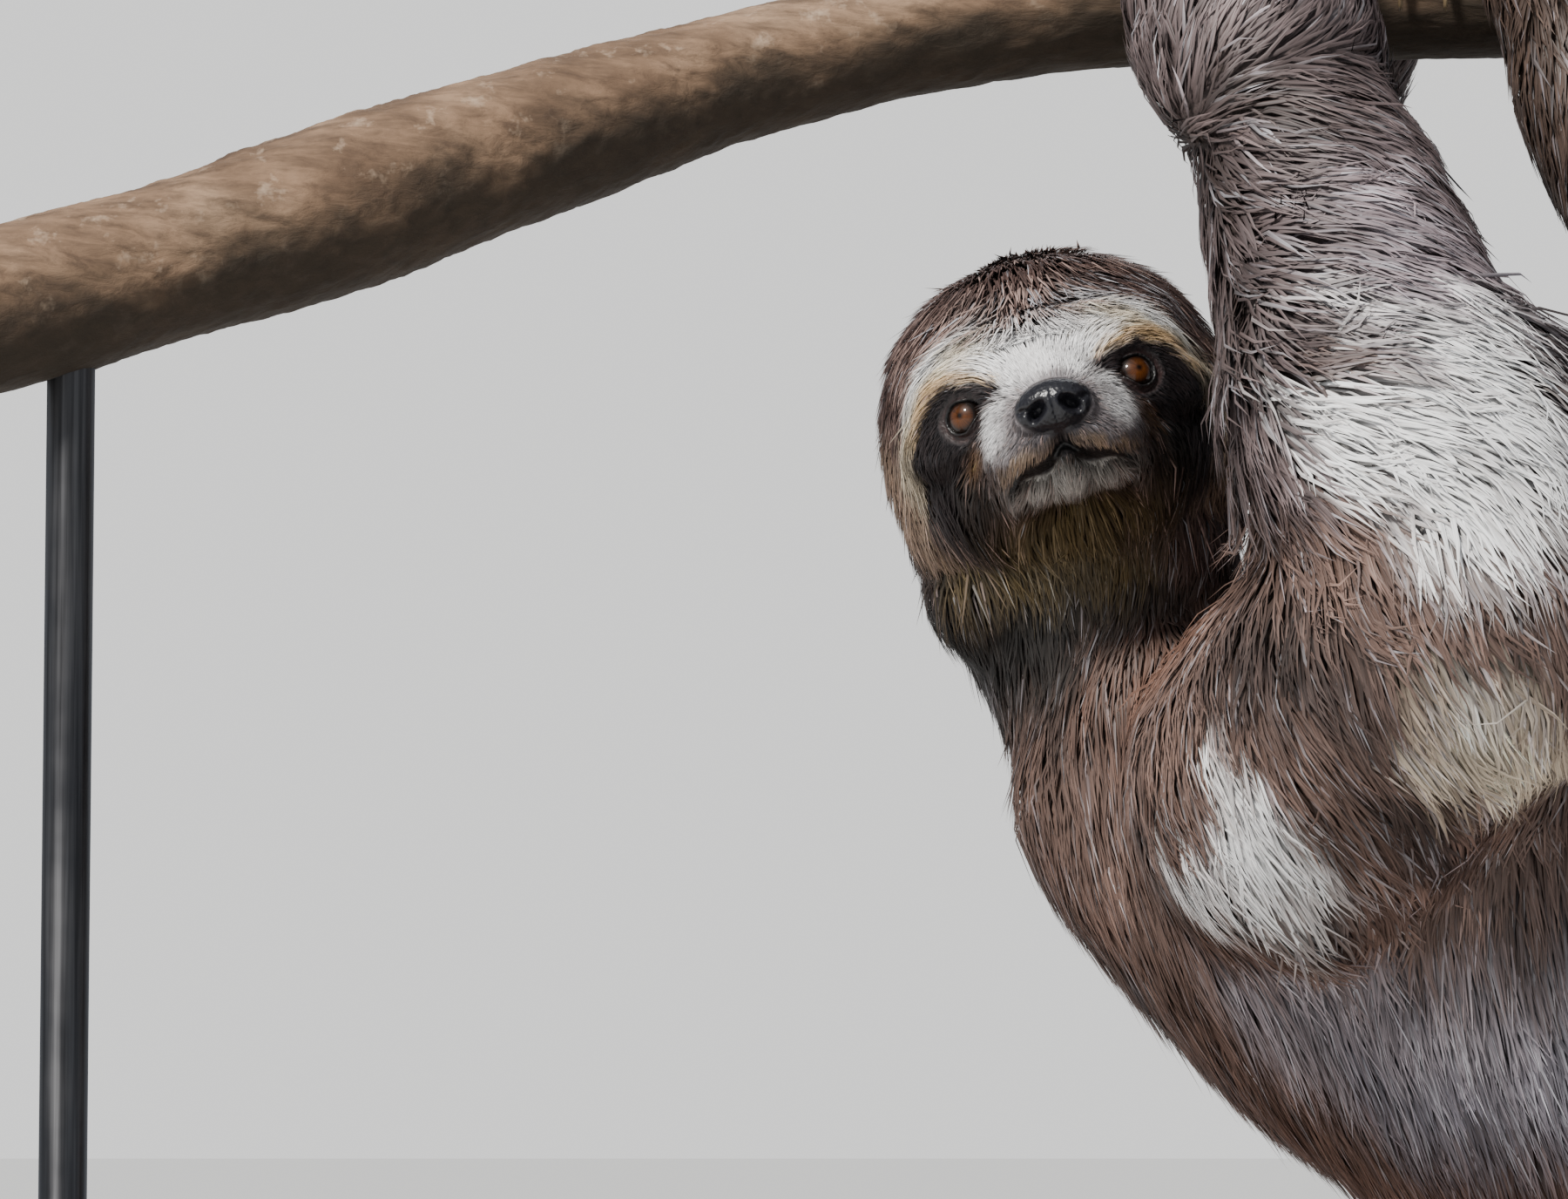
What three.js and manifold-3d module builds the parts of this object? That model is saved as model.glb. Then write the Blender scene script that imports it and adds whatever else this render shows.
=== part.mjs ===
// A three-toed sloth, life size, hanging by its claws under a cut length of branch on a display stand.
//
// Units are millimetres and +Z is up. The origin is the middle of the base's underside. The head is at the
// -X end, the face looks to -Y, and the animal's right side is its -Y side. Each solid is the outside of the
// coat, out to the tips of the hair, so the pieces of flesh are as thick as the furred animal.
import * as THREE from "three";
import { mergeVertices } from "three/addons/utils/BufferGeometryUtils.js";
import Module from "manifold-3d";

const GAP = 0.3; // clear space between two neighbouring pieces

// Stand: a flat base and two upright rods that end in blind holes in the branch.
const BASE = { length: 800, width: 300, thickness: 22, corner: 45, edge: 3 };
const ROD = { radius: 6, socket: 14, left: [-318, -108], right: [370, 0] };

// Branch: a path with the radius at each point. Its left end swings forward and down.
const BRANCH = [
  [-352, -123, 376, 20.5],
  [-294, -98, 397, 20.5],
  [-251, -80, 414, 21.5],
  [-197, -55, 437, 19.5],
  [-142, -30, 459, 16.5],
  [-53, -3, 480, 17],
  [60, 0, 484, 17.5],
  [189, 0, 486, 18],
  [395, 0, 487, 18.5],
];

// Head: a ball of coat with a short blunt muzzle, tilted back, turned and rolled to one side.
const HEAD = {
  at: [-66, 0, 364],
  pitch: 23, // degrees that the face is lifted above level
  turn: 4.4, // degrees that it is turned away from the body
  roll: 13, // degrees that its left side is raised
  halfWidth: 50,
  halfLength: 50,
  halfHeight: 48,
};
const MUZZLE = { out: 16.5, elevation: -26, halfHeight: 19, topHalfWidth: 15, lowHalfWidth: 27 };
const EYE = { azimuth: 30.7, elevation: -11.1, centre: 43.6, radius: 6, dent: 3.4, dentWidth: 8 };
const BROW = { azimuth: 24, elevation: 3, out: 2, width: 11 };
const NOSE = { at: [0, -58.5, -23.3], size: [10.6, 7.8, 7.3] };

// Soft paths: [x, y, z, half width across, half thickness].
const TRUNK = [
  [-43, 5, 285, 40, 42],
  [-24, 5, 273, 56, 59],
  [2, 5, 260, 68, 78],
  [37, 5, 251, 79, 96],
  [83, 5, 236, 88, 103],
  [134, 5, 229, 94, 105],
  [185, 5, 231, 94, 102],
  [230, 5, 242, 88, 94],
  [262, 5, 255, 76, 80],
  [284, 5, 266, 58, 60],
];
const NECK = [
  [-70, 24, 352, 34, 34],
  [-63, 22, 324, 35, 36],
  [-46, 12, 296, 38, 37],
];
const TAIL = [
  [296, 5, 268, 20, 20],
  [322, 5, 256, 17, 17],
  [341, 5, 253, 11, 11],
];

// Limbs, each one path from inside the body out to the tips of the coat on its toes. `joints` are the
// stations where one piece ends and the next begins, and `grip` is where its claws hook the branch.
const LIMBS = {
  arm_right: {
    pieces: ["upper_arm_right", "forearm_right", "hand_right"],
    joints: [2, 6],
    across: [1, 0, 0],
    side: -1,
    grip: -20,
    path: [
      [-8, -42, 264, 50, 50],
      [10, -76, 289, 49, 48],
      [38, -106, 313, 49, 46],
      [17, -98, 345, 46, 42],
      [9, -86, 372, 42, 38],
      [3, -72, 398, 37.5, 35],
      [-5, -57, 430, 34, 32],
      [-17, -45, 462, 36, 30],
      [-21, -34, 492, 32, 24],
      [-20, -12, 512, 23, 15],
    ],
  },
  arm_left: {
    pieces: ["upper_arm_left", "forearm_left", "hand_left"],
    joints: [2, 5],
    across: [1, 0, 0],
    side: 1,
    grip: 24,
    path: [
      [4, 52, 268, 48, 48],
      [22, 80, 306, 40, 38],
      [24, 95, 345, 36, 35],
      [16, 86, 380, 32, 31],
      [6, 70, 414, 29, 29],
      [2, 56, 446, 28, 27],
      [8, 46, 472, 28, 25],
      [18, 36, 495, 26, 21],
      [24, 14, 511, 20, 14],
    ],
  },
  leg_right: {
    pieces: ["thigh_right", "shin_right", "foot_right"],
    joints: [2, 5],
    across: [0, 1, 0],
    side: -1,
    grip: 62,
    path: [
      [212, -56, 248, 52, 58],
      [172, -86, 284, 44, 50],
      [131, -95, 326, 36, 39],
      [112, -80, 368, 30, 32],
      [89, -57, 415, 27, 27],
      [70, -41, 455, 25, 25],
      [63, -34, 488, 23, 24],
      [62, -12, 510, 15, 20],
    ],
  },
  leg_left: {
    pieces: ["thigh_left", "shin_left", "foot_left"],
    joints: [2, 5],
    across: [0, 1, 0],
    side: 1,
    grip: 157,
    path: [
      [238, 64, 254, 50, 56],
      [226, 92, 300, 42, 48],
      [208, 100, 348, 35, 38],
      [192, 83, 388, 29, 31],
      [174, 60, 430, 26, 27],
      [162, 43, 462, 25, 25],
      [157, 36, 490, 23, 24],
      [157, 14, 511, 15, 20],
    ],
  },
};

const JOINT = 0.8; // size of a limb piece's hidden start against the end of the piece before it
// Claws hook over the top of the branch. Angles run over it from the side that the limb comes up on.
const CLAW = { count: 3, pitch: 12, from: 80, to: 222, halfWidth: 3.4, halfDepth: 4.6, tip: 0.9, steps: 6 };

const FINISH = {
  coat: { color: 0x776a66, roughness: 0.95 },
  coat_dark: { color: 0x4a3d36, roughness: 0.95 },
  nose_skin: { color: 0x24262c, roughness: 0.35 },
  eye: { color: 0x8a4413, roughness: 0.08 },
  claw: { color: 0xc9b491, roughness: 0.4 },
  bark: { color: 0x6d5a44, roughness: 0.9 },
  base_wood: { color: 0x3a2a1e, roughness: 0.5 },
  rod_metal: { color: 0x2c2c2e, roughness: 0.45, metalness: 0.8 },
};

const wasm = await Module();
wasm.setup();

const radians = THREE.MathUtils.degToRad;
const vector = (p) => new THREE.Vector3(p[0], p[1], p[2]);

// Joins a geometry's seam and pole vertices while it still has unit size.
function merged(geometry) {
  geometry.deleteAttribute("normal");
  geometry.deleteAttribute("uv");
  return mergeVertices(geometry, 1e-4);
}

function solidOf(geometry) {
  return new wasm.Manifold(
    new wasm.Mesh({
      numProp: 3,
      vertProperties: geometry.attributes.position.array,
      triVerts: new Uint32Array(geometry.index.array),
    }),
  );
}

function geometryOf(solid) {
  const mesh = solid.getMesh();
  const geometry = new THREE.BufferGeometry();
  const positions = new Float32Array(mesh.numVert * 3);
  for (let i = 0; i < mesh.numVert; i++) {
    positions.set(mesh.vertProperties.subarray(i * mesh.numProp, i * mesh.numProp + 3), i * 3);
  }
  geometry.setAttribute("position", new THREE.BufferAttribute(positions, 3));
  geometry.setIndex(new THREE.BufferAttribute(new Uint32Array(mesh.triVerts), 1));
  geometry.computeVertexNormals();
  return geometry;
}

// Moves every vertex of a geometry by a function of its place.
function mapped(geometry, place) {
  const position = geometry.attributes.position;
  const from = new THREE.Vector3();
  for (let i = 0; i < position.count; i++) {
    const to = place(from.fromBufferAttribute(position, i));
    position.setXYZ(i, to.x, to.y, to.z);
  }
  return geometry;
}

// A capsule bent along a smooth path of stations, [x, y, z, half width, half thickness]. The width lies as
// near as it can to the direction `across`, and `dome` is how far each end bulges past the path, as a share
// of the size there. `grow` makes the piece thicker all over.
function bent(stations, { across = [0, 1, 0], around = 14, along = 6, rings = 2, dome = 0.8, grow = 0 }) {
  const centre = new THREE.CatmullRomCurve3(stations.map(vector));
  const sizes = stations.map(([, , , width, thickness]) => new THREE.Vector3(width, thickness, 0));
  const size = new THREE.CatmullRomCurve3(sizes);
  const capsule = merged(new THREE.CapsuleGeometry(1, 1, rings, around, along));
  return mapped(capsule, ({ x, y, z }) => {
    const t = THREE.MathUtils.clamp(y + 0.5, 0, 1);
    const tangent = centre.getTangent(t);
    const side = vector(across);
    side.addScaledVector(tangent, -side.dot(tangent)).normalize();
    const outward = new THREE.Vector3().crossVectors(side, tangent);
    const { x: width, y: thickness } = size.getPoint(t);
    return centre
      .getPoint(t)
      .addScaledVector(side, x * (width + grow))
      .addScaledVector(outward, z * (thickness + grow))
      .addScaledVector(tangent, (y + 0.5 - t) * (dome * Math.min(width, thickness) + grow));
  });
}

// The head's own frame: x to its left, y to the back of the skull, z to the crown.
const headFrame = new THREE.Matrix4()
  .makeTranslation(...HEAD.at)
  .multiply(new THREE.Matrix4().makeRotationY(radians(-HEAD.roll)))
  .multiply(new THREE.Matrix4().makeRotationX(radians(-HEAD.pitch)))
  .multiply(new THREE.Matrix4().makeRotationZ(radians(-HEAD.turn)));

const bump = (offset, width, power = 2) => Math.exp(-(Math.abs(offset / width) ** power));

// How far the coat reaches from the head's centre in a direction given in the head's own frame.
function headReach(direction) {
  const { x, y, z } = direction;
  const azimuth = THREE.MathUtils.radToDeg(Math.atan2(x, -y));
  const elevation = THREE.MathUtils.radToDeg(Math.atan2(z, Math.hypot(x, y)));
  const ball = 1 / Math.hypot(x / HEAD.halfWidth, y / HEAD.halfLength, z / HEAD.halfHeight);
  const low = THREE.MathUtils.smoothstep(-elevation, 12, 36);
  const muzzleWidth = THREE.MathUtils.lerp(MUZZLE.topHalfWidth, MUZZLE.lowHalfWidth, low);
  const muzzle =
    MUZZLE.out * bump(azimuth, muzzleWidth, 3) * bump(elevation - MUZZLE.elevation, MUZZLE.halfHeight, 3);
  const side = Math.abs(azimuth);
  const brow = BROW.out * bump(side - BROW.azimuth, BROW.width) * bump(elevation - BROW.elevation, BROW.width);
  const socket =
    EYE.dent * bump(side - EYE.azimuth, EYE.dentWidth) * bump(elevation - EYE.elevation, EYE.dentWidth);
  return ball + muzzle + brow - socket;
}

function head(grow) {
  const ball = merged(new THREE.IcosahedronGeometry(1, 7));
  return mapped(ball, (p) => {
    const direction = p.clone().normalize();
    return direction.multiplyScalar(headReach(direction) + grow).applyMatrix4(headFrame);
  });
}

function eye(side, grow) {
  const azimuth = radians(side * EYE.azimuth);
  const elevation = radians(EYE.elevation);
  const centre = new THREE.Vector3(
    Math.sin(azimuth) * Math.cos(elevation),
    -Math.cos(azimuth) * Math.cos(elevation),
    Math.sin(elevation),
  ).multiplyScalar(EYE.centre);
  const ball = merged(new THREE.IcosahedronGeometry(1, 2));
  return mapped(ball, (p) => p.clone().setLength(EYE.radius + grow).add(centre).applyMatrix4(headFrame));
}

function nose(grow) {
  const ball = merged(new THREE.IcosahedronGeometry(1, 2));
  const size = vector(NOSE.size).addScalar(grow);
  return mapped(ball, (p) => p.clone().normalize().multiply(size).add(vector(NOSE.at)).applyMatrix4(headFrame));
}

// The branch's centre and radius at a place along X, for what grips it.
function branchAt(x) {
  const next = BRANCH.findIndex((p) => p[0] >= x);
  const [a, b] = [BRANCH[next - 1], BRANCH[next]];
  const t = (x - a[0]) / (b[0] - a[0]);
  return a.map((value, i) => THREE.MathUtils.lerp(value, b[i], t));
}

function branch(grow) {
  const stations = BRANCH.map(([x, y, z, radius]) => [x, y, z, radius, radius]);
  return bent(stations, { around: 12, along: 22, rings: 1, dome: 0.1, grow });
}

function claw(limb, index, grow) {
  const x = limb.grip + (index - (CLAW.count - 1) / 2) * CLAW.pitch;
  const [, y, z, radius] = branchAt(x);
  const stations = [];
  for (let i = 0; i <= CLAW.steps; i++) {
    const share = i / CLAW.steps;
    const angle = radians(THREE.MathUtils.lerp(CLAW.from, CLAW.to, share));
    const depth = THREE.MathUtils.lerp(CLAW.halfDepth, CLAW.tip, share ** 1.5);
    const width = THREE.MathUtils.lerp(CLAW.halfWidth, CLAW.tip, share ** 1.5);
    const reach = radius + 2 * GAP + depth + 0.8;
    const along = limb.side * Math.cos(angle) * reach;
    stations.push([x, y + along, z + Math.sin(angle) * reach, width, depth]);
  }
  return bent(stations, { across: [1, 0, 0], around: 6, rings: 1, dome: 1, grow });
}

function rod([x, y], grow) {
  const top = branchAt(x)[2] - branchAt(x)[3] + ROD.socket;
  const length = top - BASE.thickness - GAP;
  const shape = merged(new THREE.CylinderGeometry(ROD.radius + grow, ROD.radius + grow, length + 2 * grow, 16));
  return mapped(shape, (p) => new THREE.Vector3(x + p.x, y - p.z, BASE.thickness + GAP + length / 2 + p.y));
}

function base() {
  const { length, width, thickness, corner, edge } = BASE;
  const x = length / 2 - edge;
  const y = width / 2 - edge;
  const outline = new THREE.Shape()
    .moveTo(-x + corner, -y)
    .lineTo(x - corner, -y)
    .absarc(x - corner, -y + corner, corner, -Math.PI / 2, 0)
    .lineTo(x, y - corner)
    .absarc(x - corner, y - corner, corner, 0, Math.PI / 2)
    .lineTo(-x + corner, y)
    .absarc(-x + corner, y - corner, corner, Math.PI / 2, Math.PI)
    .lineTo(-x, -y + corner)
    .absarc(-x + corner, -y + corner, corner, Math.PI, 1.5 * Math.PI);
  const plate = new THREE.ExtrudeGeometry(outline, {
    depth: thickness - 2 * edge,
    bevelSize: edge,
    bevelThickness: edge,
    bevelSegments: 1,
    curveSegments: 4,
  });
  plate.translate(0, 0, edge);
  return merged(plate);
}

// One piece of a limb. It starts a little slimmer inside the piece before it, and so comes out of it cleanly.
function limbPiece(limb, index, grow) {
  const from = index === 0 ? 0 : limb.joints[index - 1];
  const to = limb.joints[index] ?? limb.path.length - 1;
  const [[x, y, z, width, thickness], ...rest] = limb.path.slice(from, to + 1);
  const share = index === 0 ? 1 : JOINT;
  const stations = [[x, y, z, share * width, share * thickness], ...rest];
  return bent(stations, { across: limb.across, around: 12, along: Math.round(1.5 * rest.length), grow });
}

// Adds pieces in turn. Each new piece gives way to the ones before it, which keep GAP clear round them.
const sloth = new THREE.Group();
const placed = [];

function boxesMeet(a, b) {
  return [0, 1, 2].every((i) => a.min[i] <= b.max[i] && b.min[i] <= a.max[i]);
}

function add(name, finish, make) {
  let solid = solidOf(make(0));
  for (const other of placed) {
    if (boxesMeet(solid.boundingBox(), other.grown.boundingBox())) solid = solid.subtract(other.grown);
  }
  const largest = solid.decompose().sort((a, b) => b.volume() - a.volume())[0];
  placed.push({ grown: solidOf(make(GAP)) });
  const mesh = new THREE.Mesh(geometryOf(largest), new THREE.MeshStandardMaterial(FINISH[finish]));
  mesh.name = name;
  sloth.add(mesh);
}

add("stand_base", "base_wood", base);
add("stand_rod_left", "rod_metal", (grow) => rod(ROD.left, grow));
add("stand_rod_right", "rod_metal", (grow) => rod(ROD.right, grow));
add("branch", "bark", branch);
add("eye_right", "eye", (grow) => eye(-1, grow));
add("eye_left", "eye", (grow) => eye(1, grow));
add("nose", "nose_skin", nose);
add("head", "coat_dark", head);
add("trunk", "coat", (grow) => bent(TRUNK, { around: 20, along: 13, rings: 3, dome: 0.75, grow }));
add("neck", "coat_dark", (grow) => bent(NECK, { around: 14, along: 4, dome: 0.5, grow }));
add("tail", "coat", (grow) => bent(TAIL, { around: 10, along: 4, grow }));
for (const limb of Object.values(LIMBS)) {
  limb.pieces.forEach((name, i) => add(name, "coat", (grow) => limbPiece(limb, i, grow)));
}
for (const limb of Object.values(LIMBS)) {
  for (let i = 0; i < CLAW.count; i++) {
    add(`claw_${limb.pieces[2]}_${i + 1}`, "claw", (grow) => claw(limb, i, grow));
  }
}

export default sloth;
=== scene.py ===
"""Display model of a three-toed sloth that hangs by its claws under a cut length of branch.

Lays one skin, a coat of mesh locks, eyes, claws, bark and a stand over the CAD frame, and sets the stage.
All sizes are in metres, in the CAD model's own frame.
"""

import math

import bmesh
import bpy
import numpy as np
from bpy.props import FloatProperty, FloatVectorProperty, PointerProperty
from mathutils import Matrix, Vector, noise
from mathutils.bvhtree import BVHTree
from mathutils.kdtree import KDTree


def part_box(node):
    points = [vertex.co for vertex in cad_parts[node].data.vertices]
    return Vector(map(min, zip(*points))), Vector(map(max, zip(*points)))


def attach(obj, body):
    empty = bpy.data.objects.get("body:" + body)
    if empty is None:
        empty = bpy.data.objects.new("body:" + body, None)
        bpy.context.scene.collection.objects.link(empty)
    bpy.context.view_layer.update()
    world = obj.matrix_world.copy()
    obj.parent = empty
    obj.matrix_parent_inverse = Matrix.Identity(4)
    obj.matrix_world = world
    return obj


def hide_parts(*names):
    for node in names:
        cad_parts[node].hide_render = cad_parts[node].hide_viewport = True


bl_info = {
    "name": "Hanging sloth",
    "version": (1, 0, 0),
    "blender": (4, 5, 0),
    "location": "View3D > Sidebar > Sloth",
    "description": "Builds a furred three-toed sloth on its branch and stand",
    "category": "Object",
}

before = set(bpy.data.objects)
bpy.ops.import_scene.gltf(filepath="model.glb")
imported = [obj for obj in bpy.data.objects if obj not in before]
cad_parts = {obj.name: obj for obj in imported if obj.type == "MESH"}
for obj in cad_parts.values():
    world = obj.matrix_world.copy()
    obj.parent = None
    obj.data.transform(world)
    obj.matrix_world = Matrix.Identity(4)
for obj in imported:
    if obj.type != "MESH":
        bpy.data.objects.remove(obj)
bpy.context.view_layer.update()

MM = 0.001

# The head's place and turn. In its own frame the face looks to -Y, +X is its left and +Z its crown.
HEAD_AT = Vector((-66, 0, 364)) * MM
HEAD_TURN = (
    Matrix.Rotation(math.radians(-13), 3, "Y")
    @ Matrix.Rotation(math.radians(-23), 3, "X")
    @ Matrix.Rotation(math.radians(-4.4), 3, "Z")
)
HEAD_HALF = (50, 50, 48)  # millimetres, as all numbers of the head's form are
EYE_AZIMUTH, EYE_ELEVATION, EYE_DEPTH = 30.7, -11.1, 43.6
NOSE_AT, NOSE_HALF = (0, -58.2, -23.3), (10.4, 7.6, 7.1)
TO_NECK = (-0.03, 0.62, -0.78)  # from the head's middle, in its own frame

SIDES = ("right", "left")
LIMB_PARTS = ("upper_arm", "forearm", "hand", "thigh", "shin", "foot")
BODY_NODES = ["neck", "trunk", "tail"] + [f"{part}_{side}" for part in LIMB_PARTS for side in SIDES]
FLESH_NODES = ["head", "nose"] + BODY_NODES

# Each part's coat: depth over the skin, length and width of a lock in millimetres, locks to a square
# centimetre, and the way that the hair runs in the frame's own axes.
COAT = {
    "head": (5.5, 13, 0.65, 78, (0, 0, -1)),
    "nose": (1.0, 3, 0.3, 90, (0, -1, 0)),
    "neck": (7.0, 22, 0.85, 50, (0.1, 0, -1)),
    "trunk": (7.0, 31, 1.0, 32, (0.22, 0, -1)),
    "tail": (5.0, 16, 1.0, 35, (1, 0, -0.4)),
    "upper_arm": (6.5, 29, 1.25, 29, (0.45, 0, -1)),
    "forearm": (6.2, 27, 1.2, 31, (1, 0, -0.42)),
    "hand": (5.0, 20, 1.1, 36, (0.45, 0, 1)),
    "thigh": (6.5, 29, 1.35, 24, (0.25, 0, -1)),
    "shin": (5.5, 23, 1.25, 28, (0.35, 0, -1)),
    "foot": (4.0, 14, 1.0, 36, (0.4, 0, -1)),
}

# Places where the coat stands further out and is longer: middle and reach in millimetres, and how much.
LOFTS = [
    ((48, -110, 386), 34, 2.0),
    ((58, -112, 356), 22, 1.2),
    ((-25, -92, 384), 15, 0.8),
    ((-28, -92, 350), 16, 1.0),
    ((-31, -88, 318), 15, 0.8),
    ((-26, -78, 238), 22, 0.5),
]

# Places where the skin stands further out: middle and reach in millimetres, and how far.
FULLER = [((-70, 4, 250), 46, 10)]

# Balls that join the head to the neck, in millimetres: where those along the nape end, and the middle
# and radius of each one under the cheeks.
NAPE_END = (-53, 16, 298)
CHEEKS = [((-79, 6, 330), 23), ((-46, 2, 337), 24), ((-41, 6, 325), 21)]

BODY_VOXEL, SKIN_VOXEL = 3 * MM, 2.9 * MM
FACE_HALF, FACE_TOP = 50, 12  # degrees: how wide the face's fine skin and short coat go, and how high
TRUNK_SPLIT = 0.07  # metres along X, where the trunk's front coat piece meets its rear one
COARSE_FROM, COARSE_TO = 0.05, 0.11  # metres along X, over which the trunk's locks grow thick and few
BAKE_PATCH = 0.003  # length of a lock's patch on its map for baking

# The branch's middle line and radius in millimetres, from the left end to the right.
BRANCH = [
    (-352, -123, 376, 20.5),
    (-294, -98, 397, 20.5),
    (-251, -80, 414, 21.5),
    (-197, -55, 437, 19.5),
    (-142, -30, 459, 16.5),
    (-53, -3, 480, 17),
    (60, 0, 484, 17.5),
    (189, 0, 486, 18),
    (395, 0, 487, 18.5),
]
# Where each hand and foot grips the branch along X, and the side that its claws
# start from and how far round they reach, in degrees.
GRIPS = {
    "hand_right": (-20, -1, 222),
    "hand_left": (24, 1, 203),
    "foot_right": (62, -1, 222),
    "foot_left": (157, 1, 222),
}
CLAW_FROM = 80

# The stage, in metres and degrees, with the lens and its sensor in millimetres.
KEY_AT, KEY_TINT = (-1.1, -1.5, 2.1), (1.0, 0.97, 0.92)
RIM_AT, RIM_TINT, RIM_POWER = (0.5, 1.6, 1.5), (0.95, 0.97, 1.0), 14
LIGHTS_AIM = (-0.02, 0, 0.33)
ROOM_LIGHT, ROOM_LIGHT_POWER = (0.84, 0.9, 1.0, 1), 0.45
ROOM_SEEN, ROOM_SEEN_POWER = (0.94, 0.94, 0.935, 1), 1.2
CAMERA_AT, CAMERA_TILT = (-0.140, -1.59391, 0.18055), 95
LENS, SENSOR_WIDTH, NEAREST = 137.6, 36, 0.05


# ---------------------------------------------------------------- small tools


def colour(*levels):
    """A display colour, as red, green and blue from 0 to 255, made the linear colour that shaders take."""
    return tuple(((c / 255 + 0.055) / 1.055) ** 2.4 if c > 10 else c / 255 / 12.92 for c in levels)


def step(x, low, high):
    """0 below low, 1 above high, and smooth between them."""
    t = np.clip((x - low) / (high - low), 0, 1)
    return t * t * (3 - 2 * t)


def hump(x, width, power=2.0):
    """1 at 0, falling smoothly on both sides; a higher power gives a flatter top and steeper sides."""
    return np.exp(-(np.abs(x / width) ** power))


def unit(v):
    """Vectors brought to a length of 1."""
    return v / np.maximum(np.linalg.norm(v, axis=-1, keepdims=True), 1e-9)


def mix(a, b, share):
    """From a, at a share of 0, to b, at 1."""
    return a + (b - a) * share


def new_piece(name, mesh, nodes=(), materials=()):
    """Links a mesh as a piece of the model that stands for CAD nodes."""
    for material in materials:
        mesh.materials.append(material)
    piece = bpy.data.objects.new(name, mesh)
    bpy.context.scene.collection.objects.link(piece)
    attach(piece, "root")
    if nodes:
        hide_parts(*nodes)
    return piece


def mesh_of(bm, name, smooth=True):
    """A finished bmesh as a mesh."""
    mesh = bpy.data.meshes.new(name)
    bm.to_mesh(mesh)
    bm.free()
    mesh.polygons.foreach_set("use_smooth", [smooth] * len(mesh.polygons))
    return mesh


def with_modifiers(mesh, *modifiers):
    """The mesh after modifiers, each a type and its settings."""
    worker = bpy.data.objects.new("worker", mesh)
    bpy.context.scene.collection.objects.link(worker)
    for kind, settings in modifiers:
        modifier = worker.modifiers.new(kind.title(), kind)
        for key, value in settings.items():
            setattr(modifier, key, value)
    graph = bpy.context.evaluated_depsgraph_get()
    result = bpy.data.meshes.new_from_object(worker.evaluated_get(graph))
    bpy.data.objects.remove(worker)
    bpy.data.meshes.remove(mesh)
    return result


def swollen_copy(nodes, grow):
    """One bmesh of CAD nodes, each a little swollen so that it runs into its neighbours."""
    bm = bmesh.new()
    for node in nodes:
        bm.from_mesh(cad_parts[node].data)
    bmesh.ops.remove_doubles(bm, verts=bm.verts, dist=1e-6)
    bm.normal_update()
    for vert in bm.verts:
        vert.co += vert.normal * grow
    return bm


def points_of(mesh):
    """The mesh's points as rows of an array."""
    points = np.empty(len(mesh.vertices) * 3)
    mesh.vertices.foreach_get("co", points)
    return points.reshape(-1, 3)


def normals_of(mesh):
    """The normal at each of the mesh's points."""
    normals = np.empty(len(mesh.vertices) * 3)
    mesh.vertex_normals.foreach_get("vector", normals)
    return normals.reshape(-1, 3)


def edges_of(mesh):
    """The two points of each of the mesh's edges."""
    edges = np.empty(len(mesh.edges) * 2, dtype=np.int64)
    mesh.edges.foreach_get("vertices", edges)
    return edges.reshape(-1, 2)


def triangles_of(mesh):
    """The three points of each of the mesh's triangles."""
    mesh.calc_loop_triangles()
    triangles = np.empty(len(mesh.loop_triangles) * 3, dtype=np.int64)
    mesh.loop_triangles.foreach_get("vertices", triangles)
    return triangles.reshape(-1, 3)


def set_points(mesh, points):
    """Moves the mesh's points."""
    mesh.vertices.foreach_set("co", points.ravel())
    mesh.update()


def spread(values, edges, rounds):
    """Values at a mesh's points, each smoothed with its neighbours."""
    values = np.array(values, dtype=float)
    count = len(values)
    flat = values.reshape(count, -1)
    ends = np.concatenate([edges[:, 0], edges[:, 1]])
    others = np.concatenate([edges[:, 1], edges[:, 0]])
    links = np.maximum(np.bincount(ends, minlength=count), 1)
    for _ in range(rounds):
        for column in range(flat.shape[1]):
            mean = np.bincount(ends, flat[others, column], minlength=count) / links
            flat[:, column] = 0.5 * flat[:, column] + 0.5 * mean
    return flat.reshape(values.shape)


def nearest_nodes(points, nodes):
    """For each point, the place in `nodes` of the CAD node that it is nearest."""
    verts, faces, owners = [], [], []
    for index, node in enumerate(nodes):
        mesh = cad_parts[node].data
        start = len(verts)
        verts.extend(v.co for v in mesh.vertices)
        for polygon in mesh.polygons:
            faces.append([start + i for i in polygon.vertices])
            owners.append(index)
    tree = BVHTree.FromPolygons(verts, faces)
    return np.array([owners[tree.find_nearest(p)[2]] for p in points])


def set_attribute(mesh, name, kind, values):
    """Gives the mesh a value or colour at each point that its finish can read."""
    attribute = mesh.attributes.new(name, kind, "POINT")
    field = {"FLOAT": "value", "FLOAT_COLOR": "color"}[kind]
    attribute.data.foreach_set(field, np.asarray(values, dtype=np.float32).ravel())


def set_colours(mesh, name, colours):
    """Gives the mesh an opaque colour at each point."""
    set_attribute(mesh, name, "FLOAT_COLOR", np.hstack([colours, np.ones((len(colours), 1))]))


def waves(points, size, seed):
    """Smooth noise from -1 to 1 at points, from a few crossed waves."""
    random = np.random.default_rng(seed)
    total = np.zeros(len(points))
    for _ in range(6):
        way = unit(random.normal(size=3)) * 2 * math.pi / size * random.uniform(0.6, 1.5)
        total += np.sin(points @ way + random.uniform(0, 2 * math.pi))
    return total / 3.2


# ---------------------------------------------------------------- the head's form


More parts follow.
